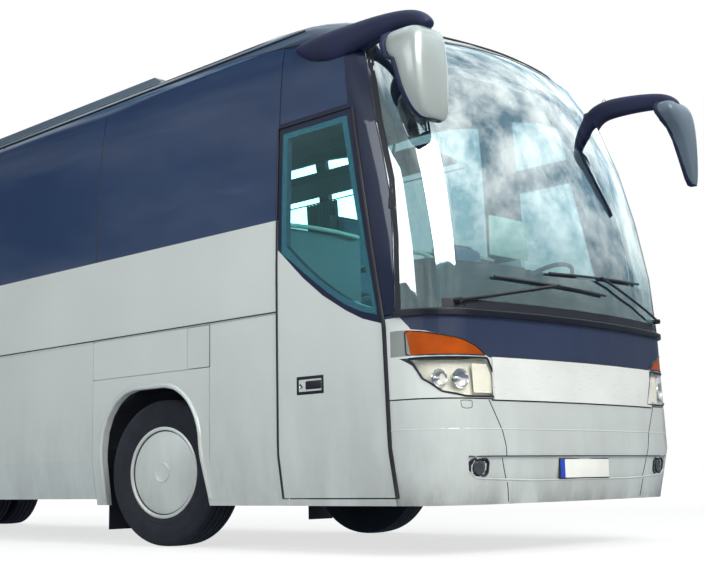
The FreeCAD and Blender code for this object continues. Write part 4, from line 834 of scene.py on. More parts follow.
def spun(name, profile, centre, axis, steps=48):
    """Round piece: a profile of (distance along the axis, radius) turned about the axis."""
    axis, centre = Vector(axis).normalized(), Vector(centre)
    side = axis.cross(Vector((0, 0, 1))).normalized() if abs(axis.z) < 0.9 else Vector((1, 0, 0))
    points = [centre + axis * along + side * radius for along, radius in profile]
    piece = new_mesh(name, points, [(i, i + 1) for i in range(len(points) - 1)], [])
    with EditMode(piece):
        bpy.ops.mesh.spin(steps=steps, angle=2 * math.pi, center=centre, axis=axis)
    return tidy_normals(piece)


def lofted(name, rings):
    """Closed skin through rings that all have the same number of points."""
    count = len(rings[0])
    points = [point for ring in rings for point in ring]
    faces = []
    for level in range(len(rings) - 1):
        for index in range(count):
            after = (index + 1) % count
            faces.append((level * count + index, level * count + after,
                          (level + 1) * count + after, (level + 1) * count + index))
    faces.append(tuple(range(count))[::-1])
    faces.append(tuple(range((len(rings) - 1) * count, len(rings) * count)))
    return tidy_normals(new_mesh(name, points, [], faces))


def block(name, low, high, bevel, segments=2):
    """Block between two corners with its edges rounded over."""
    clear_selection()
    bpy.ops.mesh.primitive_cube_add(size=1, location=[(a + b) / 2 for a, b in zip(low, high)])
    piece = bpy.context.view_layer.objects.active
    piece.name = name
    piece.scale = [abs(b - a) for a, b in zip(low, high)]
    bpy.ops.object.transform_apply(location=True, rotation=True, scale=True)
    with EditMode(piece):
        bpy.ops.mesh.bevel(offset=bevel, segments=segments, affect="EDGES", clamp_overlap=True)
    return piece


def merged(name, pieces):
    """Several shapes as one mesh."""
    clear_selection()
    for piece in pieces:
        piece.select_set(True)
    bpy.context.view_layer.objects.active = pieces[0]
    bpy.ops.object.join()
    pieces[0].name = name
    return pieces[0]


def with_modifier(piece, kind, **values):
    """Adds one modifier and applies it."""
    active(piece)
    modifier = piece.modifiers.new("shape", kind)
    for name, value in values.items():
        setattr(modifier, name, value)
    bpy.ops.object.modifier_apply(modifier=modifier.name)
    return piece


def thickened(name, points, faces, thickness):
    """Sheet of faces with a thickness, half of it on each side."""
    return tidy_normals(with_modifier(new_mesh(name, points, [], faces), "SOLIDIFY", thickness=thickness, offset=0.0))


def arc_through(first, second, third, count):
    """Points along the circle through three marks."""
    (ax, ay), (bx, by), (cx, cy) = first, second, third
    d = 2 * (ax * (by - cy) + bx * (cy - ay) + cx * (ay - by))
    ux = ((ax * ax + ay * ay) * (by - cy) + (bx * bx + by * by) * (cy - ay) + (cx * cx + cy * cy) * (ay - by)) / d
    uy = ((ax * ax + ay * ay) * (cx - bx) + (bx * bx + by * by) * (ax - cx) + (cx * cx + cy * cy) * (bx - ax)) / d
    radius = math.hypot(ax - ux, ay - uy)
    start, middle, end = [math.atan2(y - uy, x - ux) for x, y in (first, second, third)]
    turn = (end - start) % (2 * math.pi)
    if (middle - start) % (2 * math.pi) > turn:
        turn -= 2 * math.pi
    return [(ux + radius * math.cos(start + turn * i / count), uy + radius * math.sin(start + turn * i / count))
            for i in range(count + 1)]


def round_nose(height, reach_degrees, proud, nodes):
    """Level line round the nose from one corner to the other."""
    places = []
    for index in range(-20, 21):
        turn = math.radians(reach_degrees) * index / 20
        outward = Vector((math.sin(turn), -math.cos(turn), 0))
        found = cast_on(nodes, Vector((0, NOSE_CENTRE_Y, height)) + outward * 4, -outward)
        if found:
            places.append(found[0] + found[1].normalized() * proud)
    return places


# height of the windscreen's top seal
SCREEN_TOP = 3.324
# share of the front overhang and height of the marks up the windscreen's side edge
SCREEN_EDGE = [(-0.851, 1.402), (-0.848, 1.86), (-0.834, 2.22), (-0.802, 2.55), (-0.771, 2.89), (-0.746, 3.11)]


def windscreen_line(shift, step=0.12):
    """Marks (y, z) up the windscreen's side edge, from the ledge to its top corner."""
    marks = [(aft(share * FRONT_OVERHANG) + shift, height) for share, height in SCREEN_EDGE]
    return between(marks + [(aft(-2.33) + shift, SCREEN_TOP)], step)


# ---------------------------------------------------------------- nose

SIDES = ((-1, "right"), (1, "left"))
BUMPER = ("front_bumper",)
# marks (x, z) on the bumper; those of a piece on both sides are for the left one
RECESS_LIP = [(-1.035, 0.478), (-0.976, 0.441), (-0.53, 0.424), (0.53, 0.424), (0.976, 0.441), (1.035, 0.478)]
BUMPER_JOINTS = {"upper": [(0.885, 0.889), (0.835, 0.80), (0.787, 0.712), (0.765, 0.63), (0.752, 0.569)],
                 "middle": [(0.774, 0.556), (0.752, 0.49), (0.731, 0.433)],
                 "lower": [(0.727, 0.415), (0.713, 0.36), (0.703, 0.305)]}
FOG_POCKET = [(1.022, 0.474), (0.998, 0.458), (0.905, 0.456), (0.885, 0.470), (0.883, 0.530), (0.900, 0.548),
              (1.000, 0.550), (1.028, 0.535)]
FOG_BOWL = [(0.0, 0.041), (0.004, 0.041), (0.0065, 0.037), (0.008, 0.02), (0.0085, 0.0)]
WASHER_CAP = [(-1.088, 0.885), (-1.083, 0.845), (-1.055, 0.838), (-1.016, 0.842), (-1.012, 0.884)]


class COACH_OT_nose_lines(bpy.types.Operator):
    """Rubber seals and panel joints of the nose"""
    bl_idname = "coach.nose_lines"
    bl_label = "Nose lines"

    def execute(self, context):
        radius = settings()[1].seal_radius
        nodes = ("windscreen", "roof", "side_panel_right", "side_panel_left", "front_panel")
        side = laid(side_hit, windscreen_line(0.004), 0.003, nodes)
        top = laid(nose_hit, [(x / 10, SCREEN_TOP) for x in range(-8, 9, 2)], 0.003, ("windscreen", "roof"))
        settle(tube("windscreen_seal", side + top + other_side(reversed(side)), radius), "rubber_seal")
        foot = round_nose(1.413, 53, 0.002, ("windscreen",))
        settle(tube("windscreen_foot_seal", foot, radius), "rubber_seal")
        settle(tube("bumper_crease", round_nose(0.722, 53.5, 0.0005, BUMPER), 0.0035), "silver_paint")
        seam("recess_lip", nose_hit, RECESS_LIP, 0.06, 0.001, BUMPER, 0.005, "silver_paint")
        seam("recess_line", nose_hit, [(-1.045, 0.566), (1.045, 0.566)], 0.09, 0.0005, BUMPER, 0.0035)
        for sign, side_name in SIDES:
            for label, marks in BUMPER_JOINTS.items():
                seam("bumper_joint_%s_%s" % (label, side_name), nose_hit, [(sign * x, z) for x, z in marks], 0.04,
                     0.0003, BUMPER, 0.0028)
        # dark beads along the joints under and over the nose bar: partly the joints, partly painted shadow cast by the
        # proud bar
        for label, height in (("low", 0.889), ("high", 1.141)):
            seam("nose_bar_gap_" + label, nose_hit, [(-0.86, height), (0.86, height)], 0.08, 0.0005,
                 BUMPER + ("front_panel", "front_trim"), 0.0045)
        for sign, side_name in SIDES:
            pocket, nodes = [(sign * x, z) for x, z in FOG_POCKET], BUMPER + ("fog_lamps",)
            seam("fog_pocket_rim_" + side_name, nose_hit, pocket, 0.02, 0.002, nodes, 0.007, loop=True)
            settle(nose_patch("fog_pocket_" + side_name, pocket, -0.0012, 8, 12, nodes, 0.001), "black_plastic")
            place = nose_hit(("fog_lamps",), sign * 0.955, 0.502)[0]
            settle(spun("fog_lens_" + side_name, FOG_BOWL, place, (sign * 0.2, -1, 0), 36), "dark_lens")
        cap = tube("washer_cap", laid(nose_hit, between(WASHER_CAP, 0.02), 0.0003, BUMPER), 0.0018, cyclic=True)
        settle(cap, "rubber_seal")
        return {"FINISHED"}


def side_limits(outline, height):
    """Least and greatest x of a closed outline at one height."""
    crossings = []
    for (x0, z0), (x1, z1) in zip(outline, outline[1:] + outline[:1]):
        if min(z0, z1) <= height <= max(z0, z1) and z0 != z1:
            crossings.append(x0 + (x1 - x0) * (height - z0) / (z1 - z0))
    return min(crossings), max(crossings)


def nose_patch(name, outline, inset, rows, columns, nodes, thickness):
    """Curved sheet inside an outline of the nose, lying inset behind the surface."""
    low, high = min(z for _, z in outline), max(z for _, z in outline)
    points = []
    for row in range(rows + 1):
        height = low + (high - low) * (0.004 + 0.992 * row / rows)
        left, right = side_limits(outline, height)
        for column in range(columns + 1):
            place, normal = nose_hit(nodes, left + (right - left) * column / columns, height)
            points.append(place - normal.normalized() * inset)
    return thickened(name, points, grid_faces(rows, columns), thickness)


# marks (x, z) of the right lamps, and x, height and radius of the bowls
HEADLAMP = [(-1.268, 1.131), (-1.24, 1.010), (-1.176, 0.936), (-1.052, 0.909), (-0.782, 0.909), (-0.880, 1.135)]
TURN_LAMP = [(-1.268, 1.293), (-1.184, 1.268), (-1.062, 1.242), (-0.956, 1.202), (-0.888, 1.150), (-1.268, 1.147)]
LAMP_TRAY = [(-0.99, 1.10), (-0.985, 0.93), (-0.80, 0.93), (-0.878, 1.10)]
LAMP_BOWLS = {"outer": (-1.176, 1.012, 0.052), "middle": (-1.068, 1.010, 0.056)}
# the lamp's sheets: outline, inset, rows, columns, thickness and finish
LAMP_SHEETS = {"lens": (HEADLAMP, 0.002, 14, 26, 0.004, "lamp_glass"),
               "back": (HEADLAMP, 0.042, 14, 26, 0.003, "cream_shell"),
               "tray": (LAMP_TRAY, 0.016, 8, 14, 0.003, "cream_shell")}
# rims round the lamps: outline, how far they stand proud, the nodes they lie on and half their width
LAMP_RIMS = {"headlamp_rim": (HEADLAMP, 0.0015, ("headlamps", "front_panel"), 0.006),
             "turn_lamp_rim": (TURN_LAMP, 0.001, ("turn_lamps", "front_panel"), 0.004)}
# section of a bowl: distance along its axis, and share of its radius
BOWL = [(0.0, 1.0), (0.004, 1.04), (0.010, 0.97), (0.020, 0.8), (0.027, 0.5), (0.029, 0.22), (0.0145, 0.2),
        (0.013, 0.0)]


class COACH_OT_headlamps(bpy.types.Operator):
    """Headlamps with their reflectors behind clear lenses"""
    bl_idname = "coach.headlamps"
    bl_label = "Headlamps"

    def execute(self, context):
        nodes = ("headlamps",)
        for label, (outline, inset, rows, columns, thickness, material) in LAMP_SHEETS.items():
            sheet = nose_patch("headlamp_%s_right" % label, outline, inset, rows, columns, nodes, thickness)
            sheet = settle(sheet, material)
            twin = place_twin(sheet, "headlamp_%s_left" % label)
            if label == "lens":
                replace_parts(sheet, "headlamps")
                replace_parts(twin, "headlamps")
        for label, (x, height, radius) in LAMP_BOWLS.items():
            centre = nose_hit(nodes, x, height)[0] + Vector((0, 0.012, 0))
            profile = [(along, radius * share) for along, share in BOWL]
            bowl = spun("headlamp_bowl_%s_right" % label, profile, centre, (0.25, 0.97, 0), 40)
            bowl = settle(bowl, "bright_metal")
            place_twin(bowl, "headlamp_bowl_%s_left" % label)
        for label, (outline, proud, rim_nodes, radius) in LAMP_RIMS.items():
            rim = seam(label + "_right", nose_hit, outline, 0.03, proud, rim_nodes, radius, loop=True)
            place_twin(rim, label + "_left")
        return {"FINISHED"}


# the plate's frame and its face, with their back and front, half width, half height, edge rounding, finish and slot
PLATE_PARTS = {"plate_frame_": (-0.002, 0.007, 0.266, 0.062, 0.003, "black_plastic", None),
               "plate_": (0.005, 0.0095, 0.26, 0.056, 0.0015, "plate_face", "bay_sheet")}


class COACH_OT_plates(bpy.types.Operator):
    """Blank number plates in their frames, front and rear"""
    bl_idname = "coach.plates"
    bl_label = "Number plates"

    def execute(self, context):
        nose, tail = nose_hit(BUMPER, 0, 0.49)[0], tail_hit(("rear_panel",), 0, 0.60)[0]
        tail.y = min(tail.y, 6.150)
        for label, place, outward in (("front", nose, -1), ("rear", tail, 1)):
            for name, (back, face, half, rise, bevel, material, slot_name) in PLATE_PARTS.items():
                near, far = sorted((place.y + outward * back, place.y + outward * face))
                low, high = (-half, near, place.z - rise), (half, far, place.z + rise)
                settle(block(name + label, low, high, bevel), material)
        return {"FINISHED"}


# ---------------------------------------------------------------- sides

# the door's front edge as marks (y, z), and the y of its rear edge
DOOR_FRONT = [(aft(-2.370), 0.334), (aft(-2.330), 1.340), (aft(-2.070), 2.741)]
DOOR_REAR = aft(-1.393)
WAIST_STRETCHES = {"front": (-1.385, 0.706), "bays": (0.71, 5.38), "rear": (5.384, 8.88)}
PANE_JOINTS = (0.7, 2.34, 3.98, 5.62, 7.26)
# just ahead of the filler flap, clear of its swing
FILLER_HINGE_Y = -3.8815


class COACH_OT_side_lines(bpy.types.Operator):
    """Rubbers round the door and the long lines of the sides"""
    bl_idname = "coach.side_lines"
    bl_label = "Side lines"

    def execute(self, context):
        nodes = ("side_panel_right", "front_bumper", "front_panel", "side_glass_right", "front_door")
        top_y, top_z = DOOR_FRONT[2]
        strip = [(y - 0.010, z) for y, z in DOOR_FRONT[:2]] + [(top_y - 0.008, top_z)]
        seam("door_front_rubber", side_hit, strip, 0.07, 0.002, nodes, 0.014, sides=4)
        over = [(top_y - 0.008, top_z + 0.004), (DOOR_REAR + 0.004, top_z + 0.004), (DOOR_REAR + 0.004, 0.334)]
        seam("door_rear_rubber", side_hit, over, 0.09, 0.002, nodes, 0.006, smooth=False)
        beads = []
        for label, (start, end) in WAIST_STRETCHES.items():
            marks = between([(aft(start), CREASE_HEIGHT + 0.012), (aft(end), CREASE_HEIGHT + 0.012)], 0.5)
            line = laid(side_hit, marks, 0.001, ("side_panel_right",))
            beads.append(("waist_line_" + label + "_%s", line, 0.0045))
        for index, joint in enumerate(PANE_JOINTS):
            marks = between([(aft(joint), BELT_HEIGHT + 0.004), (aft(joint), 3.39)], 0.25)
            line = laid(side_hit, marks, -0.002, ("side_glass_right", "side_panel_right"))
            beads.append(("pane_joint_%s_" + str(index + 1), line, 0.006))
        for name, line, radius in beads:
            settle(tube(name % "right", line, radius, sides=2), "rubber_seal")
            settle(tube(name % "left", other_side(line), radius, sides=2), "rubber_seal")
        edge = [(FILLER_HINGE_Y, 1.222), (FILLER_HINGE_Y, 1.36), (FILLER_HINGE_Y, 1.506)]
        seam("filler_hinge_line", side_hit, edge, None, 0.0006, ("side_panel_right",), 0.0032, smooth=False)
        return {"FINISHED"}


def arch_marks(centre, spread):
    """Marks (y, z) round a wheel arch, from its front foot to its rear foot."""
    half, top, waist, flat = 0.580 + spread, 1.115 + spread, 0.700, 0.170
    lean = (top - waist) * 0.2
    middle = (flat + (half - flat) / 2 + lean, (top + waist) / 2 + lean)
    front = arc_through((-half, waist), (-middle[0], middle[1]), (-flat, top), 10)
    back = arc_through((flat, top), middle, (half, waist), 10)
    marks = [(-0.640 - spread, 0.335)] + front + back + [(half, 0.335)]
    return [(centre + y, z) for y, z in marks]


class COACH_OT_door_handle(bpy.types.Operator):
    """Recessed handle plate on the entry door"""
    bl_idname = "coach.door_handle"
    bl_label = "Door handle"

    def execute(self, context):
        plate = block("handle_plate", (-1.2785, -4.998, 0.974), (-1.262, -4.752, 1.089), 0.006, 3)
        with EditMode(plate):
            mesh = bmesh.from_edit_mesh(plate.data)
            for face in mesh.faces:
                face.select = face.normal.x < -0.95 and face.calc_area() > 0.01
            bmesh.update_edit_mesh(plate.data)
            bpy.ops.mesh.inset(thickness=0.012)
            bpy.ops.mesh.inset(thickness=0.006, depth=-0.010)
        pull = block("handle_pull", (-1.2800, -4.975, 1.005), (-1.266, -4.835, 1.058), 0.006, 3)
        barrel = spun("handle_lock", [(0.0, 0.016), (0.012, 0.016), (0.014, 0.013), (0.012, 0.010), (0.012, 0.0)],
                      (-1.268, -4.795, 1.030), (-1, 0, 0), 24)
        for piece, material in ((plate, "rubber_seal"), (pull, "black_plastic"), (barrel, "bright_metal")):
            settle(piece, material, "door_leaf")
        return {"FINISHED"}


class COACH_OT_arches(bpy.types.Operator):
    """Raised lip round each wheel arch"""
    bl_idname = "coach.arches"
    bl_label = "Wheel arches"

    def execute(self, context):
        for label, centre in (("front", FRONT_AXLE_Y), ("rear", REAR_AXLE_Y)):
            lip = seam("arch_lip_%s_right" % label, side_hit, arch_marks(centre, 0.014), 0.05, -0.004,
                       ("side_panel_right", "luggage_flap_right_3"), settings()[1].lip_radius, "silver_paint", sides=4)
            place_twin(lip, "arch_lip_%s_left" % label)
        return {"FINISHED"}


# ---------------------------------------------------------------- mirrors


def oval_ring(centre, across, deep, half_wide, half_deep, power=2.6, count=20):
    """Ring of points on a rounded rectangle across two directions."""
    ring = []
    for index in range(count):
        turn = 2 * math.pi * (index + 0.5) / count
        c, s = math.cos(turn), math.sin(turn)
        wide = math.copysign(abs(c) ** (2 / power), c) * half_wide
        far = math.copysign(abs(s) ** (2 / power), s) * half_deep
        ring.append(centre + across * wide + deep * far)
    return ring


def mirror_arm_shape(name, marks, x, widths):
    """Smooth bowed arm through (y, z) marks."""
    rings = []
    level = Vector((1, 0, 0))
    for index, (y, z) in enumerate(marks):
        before, after = marks[max(index - 1, 0)], marks[min(index + 1, len(marks) - 1)]
        along = Vector((0, after[0] - before[0], after[1] - before[1])).normalized()
        rings.append(oval_ring(Vector((x, y, z)), level, level.cross(along), *widths[index], 2.2))
    return lofted(name, rings)


def head_shape(name, levels, side, grow=0.0):
    """Tapered mirror shell; each level has its height, outer x, inner x, front y and rear y."""
    rings = []
    for height, outer, inner, front, rear in levels:
        centre = Vector((side * (outer + inner) / 2, (front + rear) / 2, height))
        rings.append(oval_ring(centre, Vector((1, 0, 0)), Vector((0, 1, 0)), (outer - inner) / 2 + grow,
                               abs(rear - front) / 2 + grow, 3.6, 28))
    return lofted(name, rings)


# height, outer x, inner x, front y and rear y of each mirror shell, from its foot to its top
RIGHT_HEAD = [(2.550, 1.195, 1.075, -5.850, -5.805), (2.556, 1.225, 1.050, -5.866, -5.790),
              (2.580, 1.262, 1.030, -5.878, -5.772), (2.650, 1.302, 1.020, -5.888, -5.745),
              (2.750, 1.332, 1.016, -5.894, -5.716), (2.860, 1.345, 1.014, -5.896, -5.692),
              (2.925, 1.348, 1.014, -5.896, -5.672), (2.950, 1.348, 1.014, -5.895, -5.615),
              (3.030, 1.346, 1.015, -5.892, -5.585), (3.090, 1.330, 1.022, -5.880, -5.590),
              (3.112, 1.300, 1.045, -5.855, -5.610), (3.119, 1.250, 1.085, -5.815, -5.650)]
LEFT_HEAD = [(2.502, 1.462, 1.425, -6.085, -6.045), (2.510, 1.470, 1.412, -6.096, -6.035),
             (2.560, 1.474, 1.395, -6.106, -6.022), (2.700, 1.474, 1.352, -6.116, -6.005),
             (2.840, 1.474, 1.300, -6.120, -5.992), (2.920, 1.473, 1.240, -6.120, -5.985),
             (2.975, 1.470, 1.170, -6.119, -5.970), (3.020, 1.462, 1.135, -6.116, -5.955),
             (3.060, 1.445, 1.130, -6.106, -5.945), (3.090, 1.415, 1.150, -6.085, -5.960),
             (3.104, 1.380, 1.190, -6.060, -5.985)]
# y, height and half thickness along each mirror arm
RIGHT_ARM = [(-4.735, 3.250, 0.010), (-4.750, 3.247, 0.030), (-4.800, 3.236, 0.056), (-4.900, 3.216, 0.088),
             (-5.050, 3.200, 0.105), (-5.200, 3.203, 0.098), (-5.380, 3.214, 0.082), (-5.550, 3.213, 0.070),
             (-5.700, 3.201, 0.060), (-5.790, 3.176, 0.055), (-5.850, 3.140, 0.046), (-5.880, 3.112, 0.030)]
LEFT_ARM = [(-5.255, 2.895, 0.020), (-5.272, 2.945, 0.066), (-5.305, 3.040, 0.084), (-5.365, 3.125, 0.090),
            (-5.470, 3.172, 0.080), (-5.700, 3.162, 0.070), (-5.860, 3.145, 0.064), (-5.980, 3.122, 0.058),
            (-6.050, 3.085, 0.048), (-6.080, 3.055, 0.030)]


# each mirror: its side, its arm and that arm's x, the arm's mark with the joint, its shell and the shell's finish
MIRRORS = {"right": (-1, RIGHT_ARM, -1.200, 5, RIGHT_HEAD, "mirror_shell"),
           "left": (1, LEFT_ARM, 1.262, 4, LEFT_HEAD, "mirror_shell_left")}


class COACH_OT_mirrors(bpy.types.Operator):
    """Outside mirrors on their bowed arms"""
    bl_idname = "coach.mirrors"
    bl_label = "Outside mirrors"

    def execute(self, context):
        for side_name, (side, route, x, joint, levels, material) in MIRRORS.items():
            widths = [(min(0.050, 0.02 + half), half) for _, _, half in route]
            arm = mirror_arm_shape("mirror_arm_" + side_name, [(y, z) for y, z, _ in route], x, widths)
            with_modifier(arm, "SUBSURF", levels=2, render_levels=2)
            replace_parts(settle(arm, "navy_dull", smooth=60.0), "mirror_arms")
            y, z, half = route[joint]
            line = oval_ring(Vector((x, y, z)), Vector((1, 0, 0)), Vector((0, 0, 1)), 0.0455, half + 0.001, 2.2)
            settle(tube("mirror_arm_joint_" + side_name, line, 0.0022, cyclic=True), "rubber_seal")
            head = with_modifier(head_shape("mirror_shell_" + side_name, levels, side), "SUBSURF", levels=1,
                                 render_levels=1)
            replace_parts(settle(head, material, smooth=60.0), "mirror_heads")
            # dark frame round the rear edge, with the glass in it
            rear = [(z, outer, inner, back - 0.050, back + 0.004) for z, outer, inner, _, back in levels]
            settle(head_shape("mirror_frame_" + side_name, rear, side, 0.0008), "navy_dull",
                   smooth=60.0)
            inset = [(z, outer - 0.018, inner + 0.018, back - 0.010, back + 0.0085)
                     for z, outer, inner, _, back in levels[2:7]]
            settle(head_shape("mirror_glass_" + side_name, inset, side), "mirror_face", smooth=60.0)
        return {"FINISHED"}


# ---------------------------------------------------------------- wheels

# distance from the tyre's middle and radius of the marks of its outer flank, from the bead to the tread
BEAD_RADIUS = 0.2866
FLANK = [(-0.104, BEAD_RADIUS), (-0.118, BEAD_RADIUS + 0.004), (-0.126, BEAD_RADIUS + 0.016),
         (-0.1262, BEAD_RADIUS + 0.022), (-0.134, BEAD_RADIUS + 0.024), (-0.1425, 0.352), (-0.1435, 0.358),
         (-0.1418, 0.361), (-0.1462, 0.392), (-0.147, 0.403), (-0.1468, 0.425), (-0.1448, 0.447), (-0.1428, 0.449),
         (-0.1432, 0.4535), (-0.1405, 0.470), (-0.137, 0.488), (-0.1345, 0.4905), (-0.1335, 0.4985), (-0.128, 0.507),
         (-0.119, 0.5145)]
TYRE_RADIUS = 0.520
GROOVE_PLACES = (-0.078, -0.027, 0.027, 0.078)
# half the distance between the middles of twin tyres
TWIN_OFFSET = 0.170
# rounds of the front wheels: distance outward along the axle and radius
RING = [(0.1215, 0.291), (0.13, 0.293), (0.13, 0.301), (0.1215, 0.303)]
COVER_EDGE = [(0.128, 0.298), (0.139, 0.301), (0.1435, 0.308), (0.1435, 0.316), (0.139, 0.3235), (0.130, 0.325),
              (0.126, 0.321), (0.1265, 0.303), (0.128, 0.298)]
HUB_LIP = [(0.146, 0.071), (0.153, 0.070), (0.1545, 0.066), (0.1525, 0.060), (0.152, 0.0)]
REAR_HUB = [(0.138, 0.098), (0.148, 0.100), (0.155, 0.094), (0.160, 0.080), (0.215, 0.074), (0.226, 0.066),
            (0.232, 0.045), (0.234, 0.0)]
NUT_COUNT, NUT_CIRCLE, NUT_HEIGHT, NUT_RADIUS = 10, 0.148, 0.024, 0.0165
# section of a wheel nut: shares of its height and of its radius
NUT = [(0, 1.35), (0.25, 1.3), (0.3, 1.02), (0.9, 1), (1, 0.8), (1, 0.5), (1.35, 0.45), (1.4, 0)]


def tyre_profile(depth):
    """Section of a tyre from bead to bead, with four grooves round the tread."""
    tread = []
    for centre in GROOVE_PLACES:
        crown = TYRE_RADIUS - centre ** 2 * 0.35
        tread += [(centre - 0.0065, crown), (centre - 0.0045, crown - depth), (centre + 0.0045, crown - depth),
                  (centre + 0.0065, crown)]
    tread.insert(8, (0.0, TYRE_RADIUS))
    return FLANK + tread + [(-x, r) for x, r in reversed(FLANK)]


def build_tyre(name, node_name, centre, axis, body):
    piece = spun(name, tyre_profile(settings()[1].groove_depth), centre, axis, 96)
    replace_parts(settle(piece, "tyre_rubber", body=body, smooth=28.0), node_name)


class COACH_OT_tyres(bpy.types.Operator):
    """Tyres with their grooves and side rings"""
    bl_idname = "coach.tyres"
    bl_label = "Tyres"

    def execute(self, context):
        for sign, side_name in SIDES:
            spin = JOINTS["front_wheel_%s_spin" % side_name]
            place, axis = Vector(spin["pos_m"]), Vector(spin["axis"])
            body = "front_wheel_" + side_name
            build_tyre("tyre_%s_front" % side_name, "tyre_front_" + side_name, place, axis, body)
            for name, profile, steps, material in (("wheel_ring_", RING, 72, "rubber_seal"),
                                                   ("wheel_cover_edge_", COVER_EDGE, 96, "wheel_paint"),
                                                   ("wheel_hub_lip_", HUB_LIP, 48, "wheel_paint")):
                settle(spun(name + side_name, profile, place, axis * sign, steps), material, body=body)
            place, axis = Vector(JOINTS["rear_wheels_%s_spin" % side_name]["pos_m"]), Vector((1, 0, 0))
            for label, offset in (("outer", TWIN_OFFSET * sign), ("inner", -TWIN_OFFSET * sign)):
                build_tyre("tyre_%s_rear_%s" % (side_name, label), "tyres_rear_" + side_name, place + axis * offset,
                           axis, "rear_wheels_" + side_name)
        return {"FINISHED"}


class COACH_OT_rear_wheels(bpy.types.Operator):
    """Hub cover and ring of nuts in each twin wheel's dish"""
    bl_idname = "coach.rear_wheels"
    bl_label = "Rear wheel hubs"

    def execute(self, context):
        nut = [(NUT_HEIGHT * along, NUT_RADIUS * share) for along, share in NUT]
        for sign, side_name in SIDES:
            place, axis = Vector(JOINTS["rear_wheels_%s_spin" % side_name]["pos_m"]), Vector((sign, 0, 0))
            body = "rear_wheels_" + side_name
            settle(spun("rear_hub_" + side_name, REAR_HUB, place, axis), "axle_iron", body)
            nuts = []
            for turn in (2 * math.pi * index / NUT_COUNT for index in range(NUT_COUNT)):
                offset = Vector((0, math.cos(turn), math.sin(turn))) * NUT_CIRCLE
                nuts.append(spun("nut", nut, place + axis * 0.0145 + offset, axis, 6))
            settle(merged("rear_nuts_" + side_name, nuts), "bright_metal", body)
        return {"FINISHED"}


# ---------------------------------------------------------------- windscreen band

def band(name, outer, inner, hit):
    """Thin printed strip between two lines of marks on the windscreen."""
    rows = []
    for share in (0, 1 / 3, 2 / 3, 1):
        marks = [tuple(a + (b - a) * share for a, b in zip(first, last)) for first, last in zip(outer, inner)]
        rows.append(laid(hit, marks, 0.0006, ("windscreen",)))
    count = min(len(row) for row in rows)
    points = [place for row in rows for place in row[:count]]
    return settle(thickened(name, points, grid_faces(len(rows) - 1, count - 1), 0.0008), "rubber_seal")


class COACH_OT_screen_band(bpy.types.Operator):
    """Printed dark band round the edge of the windscreen"""
    bl_idname = "coach.screen_band"
    bl_label = "Windscreen band"

    def execute(self, context):
        outer = windscreen_line(-0.004, 0.06)[:-3]
        side = band("screen_band_right", outer, [(y - 0.036, z) for y, z in outer], side_hit)
        place_twin(side, "screen_band_left")
        # the band over the glass follows its top edge
        top = []
        for x in range(-16, 17):
            height = 3.33
            while not nose_hit(("windscreen",), x / 20, height):
                height -= 0.002
            top.append((x / 20, height - 0.002))
        band("screen_band_top", top, [(x, z - 0.016) for x, z in top], nose_hit)
        foot = [(x / 20, 1.425) for x in range(-23, 24)]
        band("screen_band_foot", foot, [(x, z + 0.05) for x, z in foot], nose_hit)
        return {"FINISHED"}


# ---------------------------------------------------------------- seats


SEAT_ROWS = 12
SEAT_PITCH = 0.780
FIRST_SEAT = -0.900
# x, place behind the front axle and drop of the driver's seat
DRIVER_SEAT = (0.620, -2.010, -0.380)
PAD_PRESSURE, PAD_FRAMES = 4.0, 20


def padded_block(name, low, high, lean, voxel, cap):
    """Foam pad: a rounded block swelled by air pressure, its movement held to cap."""
    piece = block(name, low, high, 0.028, 3)
    tall = high[2] - low[2]
    for vertex in piece.data.vertices:
        vertex.co.y += lean * (vertex.co.z - low[2]) / tall
    active(piece)
    piece.data.remesh_voxel_size = voxel
    bpy.ops.object.voxel_remesh()
    start = [vertex.co.copy() for vertex in piece.data.vertices]
    cloth_modifier = piece.modifiers.new("swell", "CLOTH")
    cloth_modifier.settings.use_pressure = True
    cloth_modifier.settings.uniform_pressure_force = PAD_PRESSURE
    cloth_modifier.settings.effector_weights.gravity = 0.0
    for number in range(1, PAD_FRAMES + 1):
        bpy.context.scene.frame_set(number)
    bpy.ops.object.modifier_apply(modifier=cloth_modifier.name)
    bpy.context.scene.frame_set(1)
    for vertex, before in zip(piece.data.vertices, start):
        moved = vertex.co - before
        if moved.length > cap:
            vertex.co = before + moved.normalized() * cap
    return with_modifier(piece, "SUBSURF", levels=1, render_levels=1)


def sewn(piece, levels, axis, depth=0.006, reach=0.011):
    """Presses sewn channels into a pad at some levels along one axis."""
    centre = sum((vertex.co for vertex in piece.data.vertices), Vector()) / len(piece.data.vertices)
    for vertex in piece.data.vertices:
        for level in levels:
            near = abs(vertex.co[axis] - level)
            if near < reach * 2:
                pull = depth * math.exp(-(near / reach) ** 2)
                inward = centre - vertex.co
                inward[axis] = 0.0
                vertex.co += inward.normalized() * pull
    return piece


